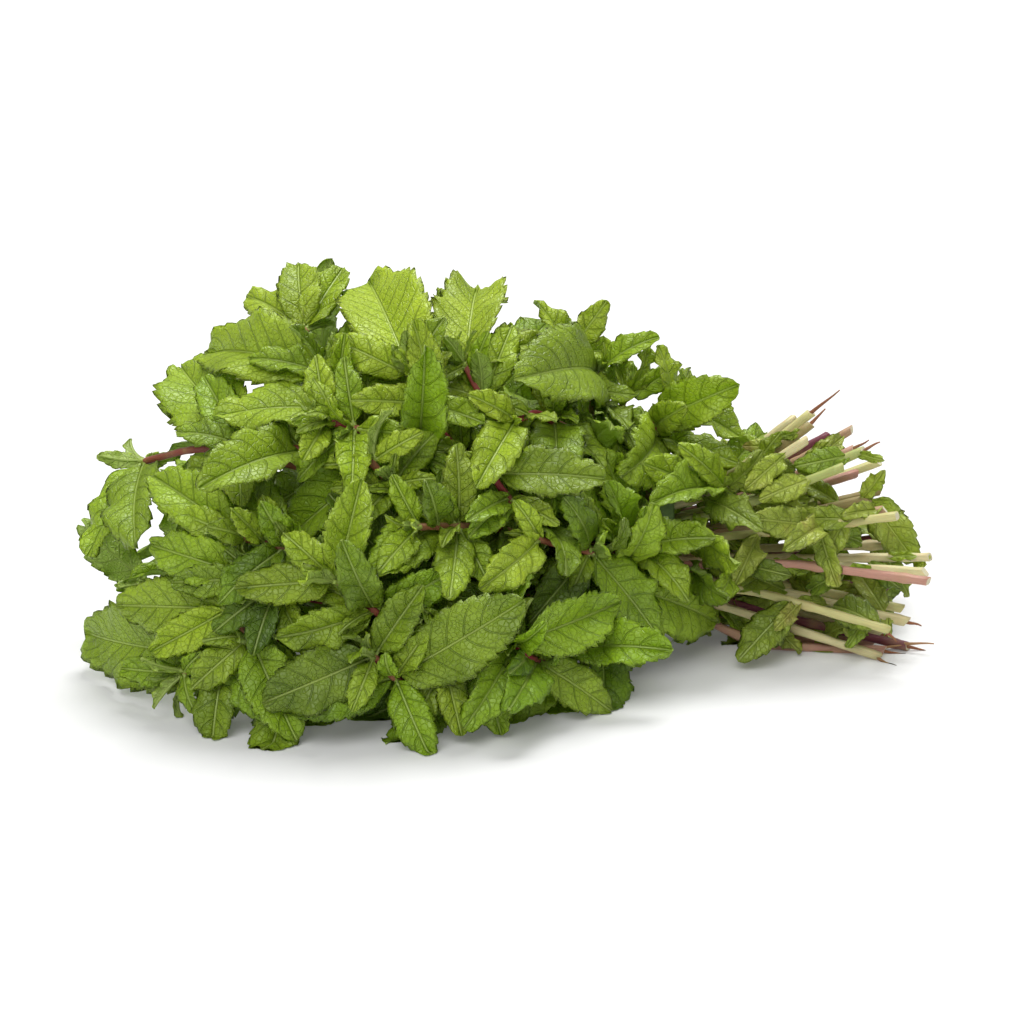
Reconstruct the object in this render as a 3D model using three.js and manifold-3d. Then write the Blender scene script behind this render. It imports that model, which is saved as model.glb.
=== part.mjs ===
// A cut bunch of fresh mint lying on a table. Leafy sprigs, each a square stem with pairs of toothed leaves,
// are held by one band and fan out from it: the leafy tops to -X in a low heap, the bare cut ends to +X.
// Millimetres. +X runs towards the cut ends, +Y away from the viewer, +Z up, and the table is z = 0.
import * as THREE from "three";
import { mergeVertices } from "three/addons/utils/BufferGeometryUtils.js";
import Module from "manifold-3d";

const wasm = await Module();
wasm.setup();

// Driving dimensions of the bunch
const HEAP_CENTRE = new THREE.Vector3(-42, 0, 0);
const HEAP_RADII = new THREE.Vector3(96, 92, 112);
const BAND_X = 46;
const BAND_Z = 32;
const BAND = { beyond: 4, width: 5, thickness: 1.6, clearance: 0.5, segments: 28, corner: 0.4, samples: 30 };
const SLOT_SPACING = 5.0;
const SLOT_RINGS = 3;
const CUT_LENGTH = [78, 92];
const TOP_CUT_SHORTER = 0.34;
const FAN = { out: 0.26, up: 0.66, lift: 0.02 };
const BAND_MARGIN = 12;
const BAND_CORNER = 2;
const TABLE_CLEARANCE = 1.3;
const ORIGIN_SHIFT = { x: 2.677, y: -1.236 };

// Driving dimensions of a sprig
const STEM_WIDTH = { cut: 3.0, tip: 1.9 };
const STEM_SIDES = 4;
const STEM_GAP = 4.9;
const GAP_SAMPLES = 8;
const GAP_ROUNDS = 40;
const TIP_INSET = 1.6;
const INTERNODE = 22;
const LEAF_LENGTH = 47;
const PETIOLE = { length: 4.5, halfWidth: 1.1, sunk: 0.7 };
const LEAF_BASE = 0.02;
const LEAF_REST = -2;
const BLADE_THICKNESS = 1.25;
const TOOTH_DEPTH = 0.13;
const LEAF_GAP = 0.35;
const HEAP_EDGE = 1.03;
const SLIVER = 0.04;
const SHOOT_NODE = 1;
const SHOOT_SIZE = 0.62;
const SHARED = { stem: 3, leaf: 1.2 };
const ATTEMPTS = 26;
const BUTT_KEY = 5000;
const BUTT_STEPS = 20;
const BUTT_BEHIND = 4;
const LONG_LEAF = 38;
const MIDDLE_LEAF = 18;
const RULED_LONG_LEAF = 36;
const HIDDEN_TIP_SIZE = 0.7;
const VIA_LIFT = -3;
const NEAREST_VIA = 30;
const LEAF_LIFT = { tip: 7, via: 5 };
const CURVE_SAMPLES = 48;

// The ranges that leaf shapes are drawn from: all leaves, those with a given end, and those set by rule
const MARGIN = { droop: [0, 0.35], twist: [-0.5, 0.5], wave: [0.4, 1.5], waves: [1.4, 2.4] };
const AIMED = { bend: [0.25, 0.95], fold: [0.12, 0.5], width: [0.5, 0.6], widest: 29 };
const AIMED_DRIFT = { turn: 1.1, drift: 0.02, shorter: 0.008 };
const RULED = { bend: [0.2, 1.1], fold: [0.1, 0.55], width: [0.48, 0.58], lean: [0.75, 1.25] };
const RULED_REACH = [0.85, 1.12];
const RULED_DRIFT = { outward: 0.45, turn: 0.7, spin: 0.09, drift: 0.05, shorter: 0.016 };
const SEED = { turn: 11, lift: 57, cut: 91, round: 301, shoot: 401, color: 601 };

// Where the reference view is taken from. It turns a pixel of that view into a point of the heap.
const VIEW = { distance: 800, elevation: 17, pixels: 1024, lens: 85, sensor: 36 };
VIEW.target = new THREE.Vector3(0, 0, 44);

// Sprigs that show in the reference view, in pixels: the tip, a point that the stem passes on its way there,
// the ends of the leaves at the tip, and the ends of the leaves at the stem point.
const SEEN_SPRIGS = [
  { tip: [371, 652], tipLeaves: [[262, 703], [352, 712], [424, 585]],
    via: [394, 680], viaLeaves: [[432, 762], [543, 594]] },
  { tip: [334, 577], tipLeaves: [[283, 532], [234, 588], [362, 478]],
    via: [374, 614], viaLeaves: [[268, 645], [455, 570]] },
  { tip: [536, 538], tipLeaves: [[514, 500], [480, 590]],
    via: [592, 556], viaLeaves: [[658, 636], [574, 490]] },
  { tip: [512, 640], tipLeaves: [[622, 602], [462, 728]],
    via: [538, 668], viaLeaves: [[528, 706], [610, 712]] },
  { tip: [634, 592], tipLeaves: [[738, 603], [600, 668]],
    via: [622, 560], viaLeaves: [[734, 552], [656, 700]] },
  { tip: [676, 402], tipLeaves: [[752, 446], [656, 346]],
    via: [640, 436], viaLeaves: [[746, 466], [622, 478]] },
  { tip: [514, 421], tipLeaves: [[468, 394], [476, 488]],
    via: [556, 411], viaLeaves: [[604, 470], [556, 486]] },
  { tip: [598, 368], tipLeaves: [[660, 338], [512, 382]],
    via: [590, 402], viaLeaves: [[636, 452], [548, 340]] },
  { tip: [414, 527], tipLeaves: [[392, 474], [378, 574]],
    via: [460, 526], viaLeaves: [[496, 590], [456, 444]] },
  { tip: [490, 470], tipLeaves: [[532, 420], [452, 496], [602, 492]],
    via: [508, 500], viaLeaves: [[470, 536], [560, 530]] },
  { tip: [322, 420], tipLeaves: [[294, 424], [302, 462], [316, 356]],
    via: [355, 428], viaLeaves: [[408, 434], [352, 492]] },
  { tip: [142, 462], tipLeaves: [[92, 560], [134, 548]],
    via: [238, 442], viaLeaves: [[182, 372], [240, 506]] },
  { tip: [236, 536], tipLeaves: [[152, 476], [180, 512]],
    via: [284, 548], viaLeaves: [[296, 612], [262, 494]] },
  { tip: [246, 574], tipLeaves: [[150, 546], [156, 584]],
    via: [276, 588], viaLeaves: [[214, 632], [324, 668]] },
  { tip: [228, 604], tipLeaves: [[150, 652], [120, 604]],
    via: [246, 640], viaLeaves: [[298, 742], [190, 690]] },
  { tip: [180, 674], tipLeaves: [[120, 668], [196, 716], [208, 650]],
    via: [226, 656], viaLeaves: [[270, 722], [84, 632]] },
  { tip: [304, 328], tipLeaves: [[246, 296], [298, 262], [344, 268]],
    via: [322, 372], viaLeaves: [[202, 352], [356, 340]] },
  { tip: [410, 372], tipLeaves: [[332, 338], [368, 280], [452, 352]],
    via: [424, 404], viaLeaves: [[350, 400], [486, 424]] },
  { tip: [464, 362], tipLeaves: [[541, 344], [406, 402], [478, 284]],
    via: [482, 398], viaLeaves: [[438, 434], [536, 414]] },
  { tip: [368, 458], tipLeaves: [[424, 432], [306, 470], [352, 412]],
    via: [392, 486], viaLeaves: [[354, 530], [436, 478]] },
  { tip: [568, 350], tipLeaves: [[607, 300], [534, 300], [640, 352]],
    via: [556, 386], viaLeaves: [[502, 330], [636, 398]] },
  { tip: [440, 668], tipLeaves: [[388, 742], [462, 738]],
    via: [474, 640], viaLeaves: [[420, 610], [520, 700]] },
  { tip: [700, 470], tipLeaves: [[772, 462], [740, 520]],
    via: [660, 500], viaLeaves: [[716, 560], [690, 420]] },
  { tip: [696, 612], tipLeaves: [[742, 662], [664, 680]],
    via: [676, 580], viaLeaves: [[730, 628], [628, 690]] },
  { tip: [628, 392], tipLeaves: [[684, 370], [646, 336]],
    via: [614, 428], viaLeaves: [[690, 440], [580, 380]] },
];

// Sprigs on the far side and under the heap, in degrees: headings from +X towards +Y, and their height
const HIDDEN_RINGS = [
  { height: 9, headings: [34, 64, 92, 120, 148, 172] },
  { height: 38, headings: [48, 84, 120, 152] },
  { height: 64, headings: [55, 130] },
];
const HIDDEN_DEPTH = 0.88;

// Leaves left on the cut stems and at the band: where each starts and ends, in pixels, and how far behind
// y = 0 it ends
const BUTT_LEAVES = [
  { from: [792, 454], to: [744, 490], depth: -20 },
  { from: [850, 442], to: [795, 468], depth: -12 },
  { from: [844, 442], to: [884, 460], depth: -18 },
  { from: [892, 484], to: [838, 516], depth: -28 },
  { from: [822, 482], to: [758, 500], depth: -22 },
  { from: [815, 506], to: [750, 518], depth: -26 },
  { from: [820, 542], to: [772, 560], depth: -16 },
  { from: [826, 546], to: [842, 602], depth: -30 },
  { from: [880, 540], to: [858, 568], depth: -22 },
  { from: [884, 528], to: [914, 556], depth: -14 },
  { from: [888, 566], to: [910, 602], depth: -12 },
  { from: [782, 586], to: [738, 662], depth: -32 },
  { from: [772, 622], to: [802, 652], depth: -18 },
  { from: [832, 592], to: [790, 600], depth: -20 },
  { from: [868, 612], to: [846, 648], depth: -26 },
  { from: [876, 600], to: [886, 636], depth: -30 },
  { from: [760, 548], to: [736, 592], depth: -24 },
  { from: [768, 424], to: [742, 446], depth: -4 },
  { from: [806, 430], to: [776, 436], depth: -6 },
  { from: [700, 500], to: [762, 532], depth: -34 },
  { from: [690, 520], to: [744, 562], depth: -40 },
  { from: [724, 470], to: [792, 480], depth: -26 },
  { from: [704, 440], to: [766, 450], depth: -16 },
  { from: [735, 545], to: [776, 522], depth: -30 },
  { from: [730, 556], to: [716, 604], depth: -40 },
  { from: [692, 560], to: [738, 600], depth: -44 },
  { from: [742, 568], to: [792, 576], depth: -30 },
  { from: [734, 432], to: [790, 424], depth: -4 },
  { from: [690, 414], to: [740, 384], depth: -4 },
  { from: [690, 600], to: [736, 644], depth: -44 },
  { from: [800, 474], to: [832, 440], depth: -10 },
  { from: [856, 492], to: [884, 470], depth: -10 },
  { from: [862, 572], to: [902, 590], depth: -16 },
  { from: [804, 600], to: [764, 640], depth: -30 },
  { from: [852, 520], to: [820, 562], depth: -24 },
];

// A repeatable number from 0 to 1 for each whole number
function chance(n) {
  const s = Math.sin(n * 12.9898) * 43758.5453;
  return s - Math.floor(s);
}

const between = (low, high, share) => low + (high - low) * share;
const DEGREE = Math.PI / 180;
const squareTo = (v, axis) => v.clone().addScaledVector(axis, -v.dot(axis)).normalize();

// The point of the heap under a pixel of the reference view, on the heap's skin grown by lift
function heapPoint([column, row], lift = 0, lowest = TABLE_CLEARANCE) {
  const tilt = THREE.MathUtils.degToRad(VIEW.elevation);
  const ahead = new THREE.Vector3(0, Math.cos(tilt), -Math.sin(tilt));
  const up = new THREE.Vector3(0, Math.sin(tilt), Math.cos(tilt));
  const perPixel = VIEW.sensor / VIEW.lens / VIEW.pixels;
  const ray = ahead.clone().addScaledVector(up, (VIEW.pixels / 2 - row) * perPixel);
  ray.x += (column - VIEW.pixels / 2) * perPixel;
  const radii = HEAP_RADII.clone().addScalar(lift);
  const eye = VIEW.target.clone().addScaledVector(ahead, -VIEW.distance);
  const start = eye.clone().sub(HEAP_CENTRE).divide(radii);
  const step = ray.clone().divide(radii);
  const nearest = -start.dot(step) / step.lengthSq();
  const inside = nearest * nearest - (start.lengthSq() - 1) / step.lengthSq();
  const far = nearest - Math.sqrt(Math.max(inside, 0));
  const table = (lowest - eye.z) / ray.z;
  return eye.addScaledVector(ray, ray.z < 0 ? Math.min(far, table) : far);
}

// The point under a pixel on the upright plane y = depth
function planePoint([column, row], depth) {
  const tilt = THREE.MathUtils.degToRad(VIEW.elevation);
  const perPixel = VIEW.sensor / VIEW.lens / VIEW.pixels;
  const rise = (VIEW.pixels / 2 - row) * perPixel;
  const ray = new THREE.Vector3(
    (column - VIEW.pixels / 2) * perPixel,
    Math.cos(tilt) + rise * Math.sin(tilt),
    -Math.sin(tilt) + rise * Math.cos(tilt),
  );
  const eye = toViewer.clone().multiplyScalar(VIEW.distance).add(VIEW.target);
  const point = eye.addScaledVector(ray, (depth - eye.y) / ray.y);
  point.z = Math.max(point.z, TABLE_CLEARANCE);
  return point;
}

// The direction from the heap to the viewer
const toViewer = new THREE.Vector3(0, -Math.cos(VIEW.elevation * DEGREE), Math.sin(VIEW.elevation * DEGREE));

// The direction out of the heap at a point
const outOfHeap = (p) => p.clone().sub(HEAP_CENTRE).divide(HEAP_RADII).divide(HEAP_RADII).normalize();

// How far out a point is: 1 on the heap's skin
const heapDepth = (p) => p.clone().sub(HEAP_CENTRE).divide(HEAP_RADII).length();

// A smooth line through points, as samples with the length run so far
function smoothPath(points) {
  const gaps = points.slice(1).map((p, i) => p.distanceTo(points[i]));
  const slope = (i) => points[i + 1].clone().sub(points[i]).divideScalar(gaps[i]);
  const tangents = points.map((p, i) => {
    if (i === 0) return slope(0);
    if (i === gaps.length) return slope(i - 1);
    const before = slope(i - 1).multiplyScalar(gaps[i]);
    return before.addScaledVector(slope(i), gaps[i - 1]).divideScalar(gaps[i - 1] + gaps[i]);
  });
  const samples = [];
  gaps.forEach((gap, i) => {
    for (let k = i === 0 ? 0 : 1; k <= CURVE_SAMPLES; k++) {
      const t = k / CURVE_SAMPLES;
      const point = points[i].clone().multiplyScalar((1 + 2 * t) * (1 - t) ** 2);
      point.addScaledVector(tangents[i], gap * t * (1 - t) ** 2);
      point.addScaledVector(points[i + 1], t * t * (3 - 2 * t));
      point.addScaledVector(tangents[i + 1], gap * t * t * (t - 1));
      point.z = Math.max(point.z, TABLE_CLEARANCE);
      samples.push(point);
    }
  });
  const run = [0];
  for (let i = 1; i < samples.length; i++) run.push(run[i - 1] + samples[i].distanceTo(samples[i - 1]));
  return { samples, run, length: run[run.length - 1] };
}

// The point at a length along a path
function onPath(path, at) {
  let i = 1;
  while (i < path.run.length - 1 && path.run[i] < at) i++;
  const share = (at - path.run[i - 1]) / (path.run[i] - path.run[i - 1]);
  return path.samples[i - 1].clone().lerp(path.samples[i], share);
}

// Places for the stems in the band, in a close hexagon
function bandSlots() {
  const slots = [];
  for (let a = -SLOT_RINGS; a <= SLOT_RINGS; a++)
    for (let b = -SLOT_RINGS; b <= SLOT_RINGS; b++)
      if (Math.abs(a + b) <= SLOT_RINGS)
        slots.push(new THREE.Vector2((a + b / 2) * SLOT_SPACING, (b * Math.sqrt(3) * SLOT_SPACING) / 2));
  return slots;
}

// The stems: tip and stem point of each sprig, then its place in the band and its cut end
function stemPaths() {
  const stems = SEEN_SPRIGS.map((seen) => {
    return { seen, tip: heapPoint(seen.tip), via: heapPoint(seen.via, VIA_LIFT) };
  });
  for (const ring of HIDDEN_RINGS)
    for (const heading of ring.headings) {
      const round = THREE.MathUtils.degToRad(heading);
      const rise = THREE.MathUtils.degToRad(ring.height);
      const tip = new THREE.Vector3(Math.cos(round), Math.sin(round), Math.tan(rise));
      tip.multiplyScalar(Math.cos(rise)).multiply(HEAP_RADII).multiplyScalar(HIDDEN_DEPTH).add(HEAP_CENTRE);
      const band = new THREE.Vector3(BAND_X, 0, BAND_Z);
      const via = tip.clone().addScaledVector(tip.clone().sub(band).normalize(), -INTERNODE);
      via.addScaledVector(outOfHeap(tip), -INTERNODE / 4);
      stems.push({ seen: null, tip, via });
    }
  const free = bandSlots();
  const spread = (stem) => {
    const away = Math.max(BAND_X - stem.via.x, NEAREST_VIA);
    const way = new THREE.Vector2(stem.via.y, stem.via.z - BAND_Z).divideScalar(away);
    return way.multiplyScalar(SLOT_SPACING * SLOT_RINGS);
  };
  const order = stems.map((stem, i) => ({ i, wish: spread(stem) }));
  order.sort((a, b) => b.wish.length() - a.wish.length());
  for (const { i, wish } of order) {
    let best = 0;
    free.forEach((slot, k) => {
      if (slot.distanceTo(wish) < free[best].distanceTo(wish)) best = k;
    });
    const [slot] = free.splice(best, 1);
    const band = new THREE.Vector3(BAND_X, slot.x, BAND_Z + slot.y);
    const turn = new THREE.Vector3(1, (FAN.out * slot.x) / SLOT_SPACING / SLOT_RINGS, 0);
    turn.z = FAN.lift + (FAN.up * slot.y) / SLOT_SPACING / SLOT_RINGS;
    turn.y += 0.05 * (chance(i + SEED.turn) - 0.5);
    turn.z += 0.06 * (chance(i + SEED.lift) - 0.5);
    const shorter = (TOP_CUT_SHORTER * Math.max(slot.y, 0)) / SLOT_SPACING / SLOT_RINGS;
    const reach = between(CUT_LENGTH[0], CUT_LENGTH[1], chance(i + SEED.cut)) * (1 - shorter);
    const cut = band.clone().addScaledVector(turn.normalize(), reach);
    const onward = stems[i].via.clone().sub(band);
    const step = Math.min(INTERNODE / 2, onward.length() / 4);
    const beyond = band.clone().addScaledVector(onward.normalize().sub(turn).normalize(), step);
    setCorners(stems[i], smoothPath([cut, band, beyond, stems[i].via, stems[i].tip]));
  }
  partStems(stems);
  return stems;
}

// A stem is straight between its corners: the cut end, the middle there, the band, then one between each two
// nodes, and the tip. The nodes, where the leaves grow, are listed from the tip back.
function setCorners(stem, path) {
  const bandAt = path.run[CURVE_SAMPLES];
  const nodes = [path.length - TIP_INSET];
  if (stem.seen) nodes.push(path.length - stem.tip.distanceTo(stem.via));
  while (nodes.at(-1) - INTERNODE > bandAt + BAND_MARGIN) nodes.push(nodes.at(-1) - INTERNODE);
  const halfways = nodes.slice(1).map((at, i) => (at + nodes[i]) / 2);
  const corners = [0, bandAt / 2, bandAt, ...halfways.reverse(), path.length];
  stem.corners = corners.map((at) => onPath(path, at));
  stem.nodes = nodes.map((at, i) => {
    const corner = corners.length - 2 - i;
    return { corner, share: (at - corners[corner]) / (corners[corner + 1] - corners[corner]) };
  });
}

// The point of a stem at a share of the way from one corner to the next, and the way that it runs there
function onStem(stem, { corner, share }) {
  const [from, to] = [stem.corners[corner], stem.corners[corner + 1]];
  return { point: from.clone().lerp(to, share), along: to.clone().sub(from).normalize() };
}

// Bends stems apart, a little at a time, until no two are closer than the gap
function partStems(stems) {
  const samples = (stem) =>
    stem.corners.slice(1).flatMap((p, i) => {
      const row = [];
      for (let k = 0; k < GAP_SAMPLES; k++) row.push(stem.corners[i].clone().lerp(p, k / GAP_SAMPLES));
      return row;
    });
  const bend = (stem, at, push) =>
    stem.corners.forEach((p, i) => {
      p.addScaledVector(push, Math.exp(-((i - at / GAP_SAMPLES) ** 2)));
      p.z = Math.max(p.z, TABLE_CLEARANCE);
      if (i === BAND_CORNER) p.x = BAND_X;
    });
  for (let round = 0; round < GAP_ROUNDS; round++)
    for (let i = 0; i < stems.length; i++)
      for (let j = i + 1; j < stems.length; j++) {
        const [a, b] = [samples(stems[i]), samples(stems[j])];
        let near = { gap: STEM_GAP };
        a.forEach((p, m) =>
          b.forEach((q, n) => {
            const gap = p.distanceTo(q);
            if (gap < near.gap) near = { gap, m, n, push: p.clone().sub(q) };
          }),
        );
        if (!near.push) continue;
        near.push.normalize().multiplyScalar((STEM_GAP - near.gap) / 2);
        bend(stems[i], near.m, near.push);
        bend(stems[j], near.n, near.push.clone().negate());
      }
}

// The band: a ring with a rounded section round all the stems
function bandGeometry(stems) {
  const axis = new THREE.Vector3(BAND_X + BAND.beyond, 0, BAND_Z);
  let radius = 0;
  for (const stem of stems)
    for (let k = 0; k <= BAND.samples; k++) {
      const { point } = onStem(stem, { corner: BAND_CORNER - 1, share: k / BAND.samples });
      if (Math.abs(point.x - axis.x) > BAND.width) continue;
      radius = Math.max(radius, Math.hypot(point.y - axis.y, point.z - axis.z));
    }
  const inner = radius + STEM_WIDTH.cut / Math.SQRT2 + BAND.clearance;
  const [half, round, outer] = [BAND.width / 2, BAND.corner, inner + BAND.thickness];
  const section = [
    [inner, -half + round],
    [inner + round, -half],
    [outer - round, -half],
    [outer, -half + round],
    [outer, half - round],
    [outer - round, half],
    [inner + round, half],
    [inner, half - round],
    [inner, -half + round],
  ].map(([r, x]) => new THREE.Vector2(r, x));
  const geometry = new THREE.LatheGeometry(section, BAND.segments);
  geometry.deleteAttribute("normal");
  geometry.deleteAttribute("uv");
  return mergeVertices(geometry.rotateZ(-Math.PI / 2).translate(axis.x, axis.y, axis.z), 1e-4);
}

// Closed geometry from points and index triples
function closedGeometry(points, faces) {
  const geometry = new THREE.BufferGeometry();
  const numbers = points.flatMap((p) => [p.x, p.y, p.z]);
  geometry.setAttribute("position", new THREE.Float32BufferAttribute(numbers, 3));
  geometry.setIndex(faces.flat());
  return geometry;
}

// A stem: a square tube that narrows towards the tip
function stemGeometry(stem) {
  const points = [];
  const faces = [];
  const start = (ring) => ring * STEM_SIDES;
  const last = stem.corners.length - 1;
  stem.corners.forEach((point, ring) => {
    const before = stem.corners[Math.max(ring - 1, 0)];
    const along = stem.corners[Math.min(ring + 1, last)].clone().sub(before).normalize();
    const side = squareTo(new THREE.Vector3(0, 1, 0.01), along);
    const over = along.clone().cross(side);
    const half = between(STEM_WIDTH.cut, STEM_WIDTH.tip, ring / last) / Math.SQRT2;
    for (let k = 0; k < STEM_SIDES; k++) {
      const angle = ((k + 0.5) / STEM_SIDES) * 2 * Math.PI;
      const corner = point.clone().addScaledVector(side, half * Math.cos(angle));
      corner.addScaledVector(over, half * Math.sin(angle));
      corner.z = Math.max(corner.z, 0);
      points.push(corner);
    }
    for (let k = 0; ring > 0 && k < STEM_SIDES; k++) {
      const next = (k + 1) % STEM_SIDES;
      faces.push([start(ring - 1) + k, start(ring - 1) + next, start(ring) + next]);
      faces.push([start(ring - 1) + k, start(ring) + next, start(ring) + k]);
    }
  });
  const end = start(last);
  faces.push([0, 2, 1], [0, 3, 2], [end, end + 1, end + 2], [end, end + 2, end + 3]);
  return closedGeometry(points, faces);
}

// Half of the blade's width along its length, as a share of the widest
const outline = (u) => 2.357 * Math.pow(u, 0.55) * Math.pow(1 - u, 0.7);

// A point of a blade: u runs along the rib from 0 to 1, and v across it from -1 to 1, or past the margin
function bladePoint(leaf, u, v, lift = 0) {
  const bow = leaf.bend * (u - 0.5);
  const rib = leaf.start.clone();
  rib.addScaledVector(leaf.along, (leaf.length / leaf.bend) * (Math.sin(bow) + Math.sin(leaf.bend / 2)));
  rib.addScaledVector(leaf.face, (leaf.length / leaf.bend) * (Math.cos(bow) - Math.cos(leaf.bend / 2)));
  const mix = (a, b, angle) => a.clone().multiplyScalar(Math.cos(angle)).addScaledVector(b, Math.sin(angle));
  const forward = mix(leaf.along, leaf.face, -bow);
  const flat = mix(leaf.face, leaf.along, bow);
  const side = forward.clone().cross(flat);
  const turn = leaf.twist * (u - 0.5);
  const across = mix(side, flat, turn);
  const normal = mix(flat, side, -turn);
  const half = 0.5 * leaf.width * outline(u);
  const wave = leaf.wave * Math.sin(2 * Math.PI * (leaf.waves * u + (v > 0 ? leaf.phase : 1 - leaf.phase)));
  rib.addScaledVector(across, half * v * Math.cos(leaf.fold));
  const rise = half * Math.abs(v) * Math.sin(leaf.fold) + (wave - half * leaf.droop) * v * v;
  rib.addScaledVector(normal, rise + lift);
  return rib;
}

// A leaf as one thin closed blade: a toothed rim that both faces share, thickest along the rib. It starts from
// a point that is sunk in the stem.
function leafGeometry(leaf) {
  const ribStations = leaf.teeth > 3 ? [LEAF_BASE, 0.36, 0.7] : [LEAF_BASE, 0.5];
  const points = [];
  const add = (p, least) => {
    p.z = Math.max(p.z, least);
    return points.push(p) - 1;
  };
  const sunk = add(leaf.root.clone().addScaledVector(leaf.along, -PETIOLE.sunk), 0);
  const rims = [-1, 1].map((hand) => {
    const base = bladePoint(leaf, LEAF_BASE, 0).addScaledVector(leaf.side, hand * PETIOLE.halfWidth);
    const row = [add(base, 0)];
    for (let tooth = 1; tooth <= leaf.teeth; tooth++) {
      const share = tooth / (leaf.teeth + 0.45);
      row.push(add(bladePoint(leaf, share - 0.02, hand * (1 + TOOTH_DEPTH / 2)), 0));
      if (tooth < leaf.teeth) row.push(add(bladePoint(leaf, share + 0.045, hand * (1 - TOOTH_DEPTH)), 0));
    }
    return row;
  });
  const ribs = [1, -1].map((facing) => {
    const least = facing > 0 ? BLADE_THICKNESS : 0;
    return ribStations.map((u) => add(bladePoint(leaf, u, 0, (facing * BLADE_THICKNESS) / 2), least));
  });
  const tip = add(bladePoint(leaf, 1, 0), BLADE_THICKNESS / 4);
  const faces = [];
  ribs.forEach((rib, face) =>
    rims.forEach((rim, hand) => {
      const flip = (face + hand) % 2 === 1;
      for (const [a, b, c] of stripFaces(sunk, rim, rib, tip)) faces.push(flip ? [a, b, c] : [a, c, b]);
    }),
  );
  return closedGeometry(points, faces);
}

// Triangles between the rim and the rib, which meet at both ends. Both faces of a blade get the same ones,
// because the choice goes by how far along its row each point is.
function stripFaces(start, rim, rib, end) {
  const faces = [[start, rim[0], rib[0]]];
  let i = 0;
  let k = 0;
  while (i < rim.length - 1 || k < rib.length - 1)
    if (k === rib.length - 1 || (i < rim.length - 1 && (i + 1) / rim.length <= (k + 1) / rib.length)) {
      faces.push([rim[i], rim[i + 1], rib[k]]);
      i++;
    } else {
      faces.push([rim[i], rib[k + 1], rib[k]]);
      k++;
    }
  faces.push([rim[i], end, rib[k]]);
  return faces;
}

// Merges equal points and makes a solid for the boolean joins
function solidOf(geometry) {
  const merged = mergeVertices(geometry, 1e-4);
  return new wasm.Manifold(
    new wasm.Mesh({
      numProp: 3,
      vertProperties: new Float32Array(merged.attributes.position.array),
      triVerts: new Uint32Array(merged.index.array),
    }),
  );
}

// How a blade bends, folds, droops, twists and waves
function bladeShape(kind, draw) {
  return {
    bend: between(...kind.bend, draw(0)),
    fold: between(...kind.fold, draw(1)),
    droop: between(...MARGIN.droop, draw(2)),
    twist: between(...MARGIN.twist, draw(3)),
    wave: between(...MARGIN.wave, draw(4)),
    waves: between(...MARGIN.waves, draw(5)),
    phase: draw(6),
  };
}

// Fills in what follows from a leaf's root, direction and facing
function finishLeaf(leaf, reach) {
  leaf.face = squareTo(leaf.face, leaf.along);
  leaf.side = leaf.along.clone().cross(leaf.face);
  leaf.start = leaf.root.clone().addScaledVector(leaf.along, PETIOLE.length);
  const chord = Math.sin(leaf.bend / 2) / (leaf.bend / 2);
  leaf.length = Math.max(reach - PETIOLE.length, 6) / chord;
  return leaf;
}

// A leaf whose end is given. Each attempt moves the end a little further from where it was wanted.
function aimedLeaf(root, end, facing, key, attempt) {
  const draw = (k) => chance(key * 977 + attempt * 31 + k);
  const aim = end.clone().sub(root);
  const drift = AIMED_DRIFT.drift * attempt * aim.length();
  aim.x += drift * (draw(1) - 0.5);
  aim.y += 2 * drift * (draw(2) - 0.5);
  aim.z += drift * (draw(3) - 0.5);
  const reach = aim.length() * (1 - AIMED_DRIFT.shorter * attempt);
  const face = facing.clone();
  face.x += AIMED_DRIFT.turn * (draw(4) - 0.5);
  face.z += AIMED_DRIFT.turn * (draw(5) - 0.5);
  const leaf = { root, along: aim.normalize(), face, ...bladeShape(AIMED, (k) => draw(k + 6)) };
  finishLeaf(leaf, reach);
  leaf.width = Math.min(leaf.length * between(...AIMED.width, draw(13)), AIMED.widest);
  leaf.width = Math.max(leaf.width, Math.min(leaf.length, MIDDLE_LEAF) * AIMED.width[1]);
  leaf.teeth = leaf.length > LONG_LEAF ? 4 : leaf.length > MIDDLE_LEAF ? 3 : 2;
  return leaf;
}

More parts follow.
